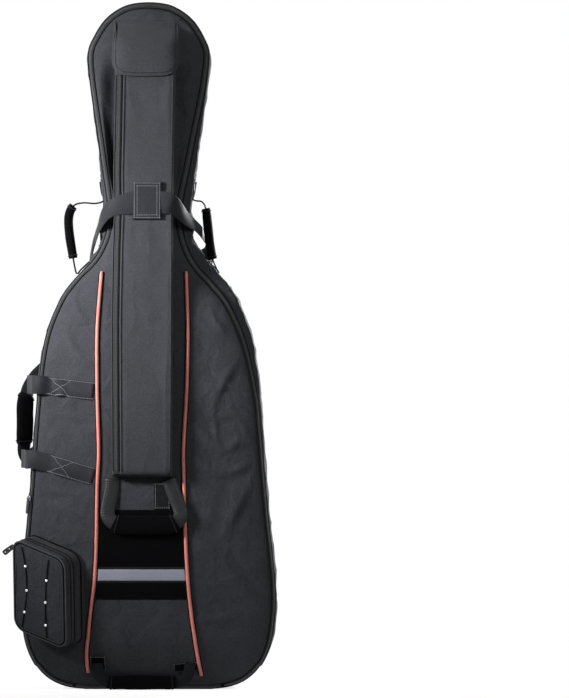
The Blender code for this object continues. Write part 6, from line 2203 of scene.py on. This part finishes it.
@dataclass
class NeckStrap:
    """Strap over the bow pocket and round the neck, hooked to the rings of the shoulder straps."""

    bow: Surface
    fittings: Fittings
    eyes: dict
    front_places: tuple = ((-62, 940), (-40, 945), (-20, 949), (0, 951), (20, 949), (42, 944))
    left_way: tuple = (((-117, 124, 806), (-1, 0, 0)), ((-118, 96, 832), (-1, 0, 0)),
                       ((-112, 56, 860), (-1, 0, 0)), ((-106, 16, 878), (-1, 0, 0)),
                       ((-99, -30, 896), (-1, 0, 0)), ((-91, -70, 914), (-0.9, -0.4, 0)),
                       ((-80, -100, 930), (-0.6, -0.8, 0)))
    right_way: tuple = (((58, -102, 934), (0.6, -0.8, 0)), ((73, -80, 918), (0.9, -0.4, 0)),
                        ((91, -45, 904), (1, 0, 0)), ((101, -8, 894), (1, 0, 0)),
                        ((107, 30, 886), (1, 0, 0)), ((110, 68, 882), (1, 0, 0)))
    adjuster_back: float = 0.0405

    def build(self) -> None:
        """The strap, its patch, its adjuster and its hooks."""
        reach = self.fittings.hook_reach
        left, right = self.eyes["left"], self.eyes["right"]
        end_left = left + unit(np.array([-0.10, 0.0, 0.995])) * reach
        axis = np.array([0.18, 0.0, 0.984])
        end_right = right + unit(axis) * reach
        knots = [(end_left, -X), (end_left + mm(-2, -2, 18), -X)]
        knots += [(mm(*p), np.array(o, float)) for p, o in self.left_way]
        for x, z in self.front_places:
            hit = self.bow.at(x / 1000, z / 1000)[0]
            knots.append((np.array([x / 1000, hit[1] - 0.0050, z / 1000]), -Y))
        knots += [(mm(*p), np.array(o, float)) for p, o in self.right_way]
        knots += [(end_right + axis * d, X * (1 - q) + Y * q)
                  for d, q in ((0.080, 0.1), (0.064, 0.5), (0.046, 0.9), (0.022, 1), (0, 1))]
        base = curve(np.array([p for p, _ in knots]), 4)
        outs = curve(np.array([o for _, o in knots]), 4)
        sides = unit(np.cross(np.gradient(base, axis=0), outs))
        run = Run(base, sides)
        end = self.fittings.loop_end(run.total)
        start = [(run.total - d, h) for d, h in reversed(end)]
        at = run.total - self.adjuster_back
        middle = [(d, 0) for d in run.lengths[::2] if 0.034 < d < at - 0.022]
        knots = start + middle + self.fittings.weave(at) + end
        made = self.fittings.strap_on("neck_strap_webbing", run, knots, WEBBING, 1.8)
        dress(made, "cover", "webbing", "neck_strap")
        self.patch()
        self.fittings.adjuster("neck_strap_adjuster", run, at, "neck_adjuster")
        self.fittings.hook("neck_hook_left", left, end_left, Y, "cover")
        self.fittings.hook("neck_hook_right", right, end_right, X, "cover")

    def patch(self) -> None:
        """Square patch that sews the strap to the bow pocket, with rows of light stitches."""
        corners = ((-29.5, 914), (25.5, 914), (25.5, 988), (-29.5, 988))
        SewnPatch("neck_strap_patch", corners, 0.0072, WEBBING, "cover", "webbing", (), 0.0030, 0.004,
                  stitched=((0.0030, "btlr"), (0.0085, "btlr"))).build(self.bow)


@dataclass
class ZipFittings:
    """Slider with its pull on the main zip, and the pull of the accessory pocket."""

    form: BagForm
    slider_z: float = 0.372
    slider: tuple = (0.014, 0.0092, 0.0052)
    pull: tuple = (0.030, 0.0080, 0.0022)

    def build(self) -> None:
        """The slider and both pulls."""
        form = self.form
        left = form.edge[:, 0] < 0
        k = int(np.argmin(np.abs(form.zip_line[:, 2] - self.slider_z) + 9 * ~left))
        at, out = form.zip_line[k], form.zip_out[k]
        run = form.zip_line[k + 1] - form.zip_line[k - 1]
        up = unit(run * np.sign(run[2]))
        centre = np.mean(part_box("zip_slider"), axis=0)
        centre = at + out * float(np.dot(centre - at, out)) + up * float(np.dot(centre - at, up))
        body = pebble("slider_body", centre, up, out, self.slider, BLACK_NICKEL, 0.72, 3.5)
        bridge = np.array([centre - up * 0.0045 + out * 0.0020, centre - up * 0.0030 + out * 0.0046,
                           centre + up * 0.0010 + out * 0.0052, centre + up * 0.0044 + out * 0.0024])
        arch = sweep("bridge", curve(bridge, 6), pad_section(0.0032, 0.0014, 12), BLACK_NICKEL, out=out)
        dress(joined(body, arch), "zip_slider", "dark_metal", "zip_slider")
        middle = np.mean(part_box("zip_pull"), axis=0)
        made = pebble("zip_pull_tab", middle, up, out, self.pull, MOULDED, 0.9, 5.0)
        dress(made, "zip_pull", "moulded_plastic", "zip_pull")
        # It hangs out past the pocket's corner, where the drawn pocket is wider than its solid
        middle = np.array([-0.2705, np.mean(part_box("accessory_zip_pull"), axis=0)[1], 0.2735])
        hang = unit(np.array([-0.80, 0, -0.60]))
        made = pebble("accessory_pull_tab", middle, hang, -Y, (0.026, 0.0092, 0.0030), MOULDED, 1.25, 5.0)
        dots = DOMES.set("pull_dots", np.array([middle + hang * d - Y * 0.0015 for d in (-0.002, 0.008)]),
                         -Y, Z, (0.0026, 0.0026, 0.0014), BRIGHT_NICKEL)
        dress(dots, "accessory_pull")
        dress(made, "accessory_pull", "moulded_plastic", "accessory_zip_pull")


def seen_directly(tree: bpy.types.NodeTree) -> bpy.types.NodeSocket:
    """1 for what the camera, a reflection or a clear thing sees, 0 for the light on the object."""
    rays = add(tree, "ShaderNodeLightPath")
    found = rays.outputs["Is Camera Ray"]
    for name in ("Is Glossy Ray", "Is Transmission Ray"):
        found = add(tree, "ShaderNodeMath", None, {0: found, 1: rays.outputs[name]},
                    operation="MAXIMUM").outputs[0]
    return found


@dataclass
class Studio:
    """Plain pale floor and backdrop, soft light, and the camera at the photograph's place."""

    scale: float = 0.00195
    frame_wide: int = 569
    frame_high: int = 698
    middle_px: float = 148.5
    floor_px: float = 689.0
    lens: float = 400.0
    sensor: float = 36.0
    floor_lift: float = 0.80

    def build(self) -> None:
        """Sets up the stage."""
        scene = bpy.context.scene
        scene.view_settings.view_transform = "Standard"
        data = bpy.data.cameras.new("camera")
        data.lens = self.lens
        data.sensor_width = self.sensor
        data.sensor_fit = "AUTO"
        distance = self.scale * self.frame_high * self.lens / self.sensor
        data.clip_end = 100
        camera = bpy.data.objects.new("camera", data)
        camera.location = ((self.frame_wide / 2 - self.middle_px) * self.scale, -distance - 0.06,
                           (self.floor_px - self.frame_high / 2) * self.scale)
        camera.rotation_euler = (math.pi / 2, 0, 0)
        scene.collection.objects.link(camera)
        scene.camera = camera
        self.backdrop()
        # Soft boxes with a honeycomb: brightest on the left shoulder, falling off to head and foot
        for name, place, aim, size, power, beam in (
            ("key", (-1.75, -1.25, 1.35), (-0.06, 0, 0.85), 0.5, 7.8, 44),
            ("fill", (1.3, -3.1, 2.6), (0.05, 0, 1.10), 1.4, 2.8, 44),
            ("back_key", (1.3, 1.75, 1.1), (0.06, 0, 0.72), 0.5, 6.6, 50),
            ("back_fill", (-0.6, 3.4, 1.9), (0, 0, 0.9), 1.6, 4, 120),
        ):
            lamp = bpy.data.lights.new(name, "AREA")
            lamp.energy = power
            lamp.size = size
            lamp.spread = math.radians(beam)
            made = bpy.data.objects.new(name, lamp)
            made.location = place
            way = Vector(aim) - Vector(place)
            made.rotation_euler = way.to_track_quat("-Z", "Y").to_euler()
            scene.collection.objects.link(made)
        world = bpy.data.worlds.new("studio")
        scene.world = world
        world.use_nodes = True
        tree = world.node_tree
        shade = tree.nodes["Background"]
        seen = seen_directly(tree)
        level = add(tree, "ShaderNodeMapRange", {"To Min": 0.05, "To Max": 1.0}, {"Value": seen})
        tree.links.new(level.outputs[0], shade.inputs["Strength"])
        shade.inputs["Color"].default_value = (1, 1, 1, 1)

    def backdrop(self) -> None:
        """White paper floor that catches the bag's shadow and fades into the white backdrop."""
        reach = 6.0
        mesh = bpy.data.meshes.new("paper_floor")
        mesh.from_pydata([(-reach, -reach, 0), (reach, -reach, 0), (reach, reach, 0),
                          (-reach, reach, 0)], [], [(0, 1, 2, 3)])
        floor = bpy.data.objects.new("paper_floor", mesh)
        bpy.context.scene.collection.objects.link(floor)
        paper = bpy.data.materials.new("white_paper")
        paper.use_nodes = True
        tree = paper.node_tree
        shader = tree.nodes["Principled BSDF"]
        shader.inputs["Base Color"].default_value = linear("#f4f4f4")
        shader.inputs["Roughness"].default_value = 0.9
        shader.inputs["Specular IOR Level"].default_value = 0.1
        seen = seen_directly(tree)
        place = add(tree, "ShaderNodeTexCoord")
        away = add(tree, "ShaderNodeVectorMath", None, {0: place.outputs["Object"]}, operation="LENGTH")
        fade = add(tree, "ShaderNodeMapRange", {"From Min": 0.25, "From Max": 0.75},
                   {"Value": away.outputs["Value"]}, interpolation_type="SMOOTHSTEP")
        share = add(tree, "ShaderNodeMath", None, {0: seen, 1: fade.outputs[0]}, operation="MULTIPLY")
        lift = add(tree, "ShaderNodeMath", {1: self.floor_lift}, {0: seen}, operation="MULTIPLY")
        glow = add(tree, "ShaderNodeEmission", None, {"Strength": lift.outputs[0]})
        near = add(tree, "ShaderNodeAddShader", None, {0: shader.outputs[0], 1: glow.outputs[0]})
        white = add(tree, "ShaderNodeEmission")
        both = add(tree, "ShaderNodeMixShader", None, {0: share.outputs[0], 1: near.outputs[0],
                                                       2: white.outputs[0]})
        tree.links.new(both.outputs[0], tree.nodes["Material Output"].inputs["Surface"])
        mesh.materials.append(paper)


def main() -> None:
    """Builds the bag's pieces in order."""
    form = BagForm()
    body = PaddedBody(form)
    cover = body.cover()
    tub = body.tub()
    body.zip()
    body.back_piping()
    front = Surface(Facing.FRONT, cover)
    rear = Surface(Facing.BACK, tub)
    FrontTrim().build(front)
    bow = BowPocket()
    pocket = bow.build(front)
    bow.flap(Surface(Facing.FRONT, cover, pocket))
    AccessoryPocket().build()
    BackTrim(rear, tub).build()
    fittings = Fittings()
    straps = ShoulderStraps(rear, fittings)
    straps.build()
    NeckStrap(Surface(Facing.FRONT, cover, pocket), fittings, straps.eyes).build()
    Handles(front, rear).build()
    ZipFittings(form).build()
    Studio().build()


if __name__ == "__main__":
    main()
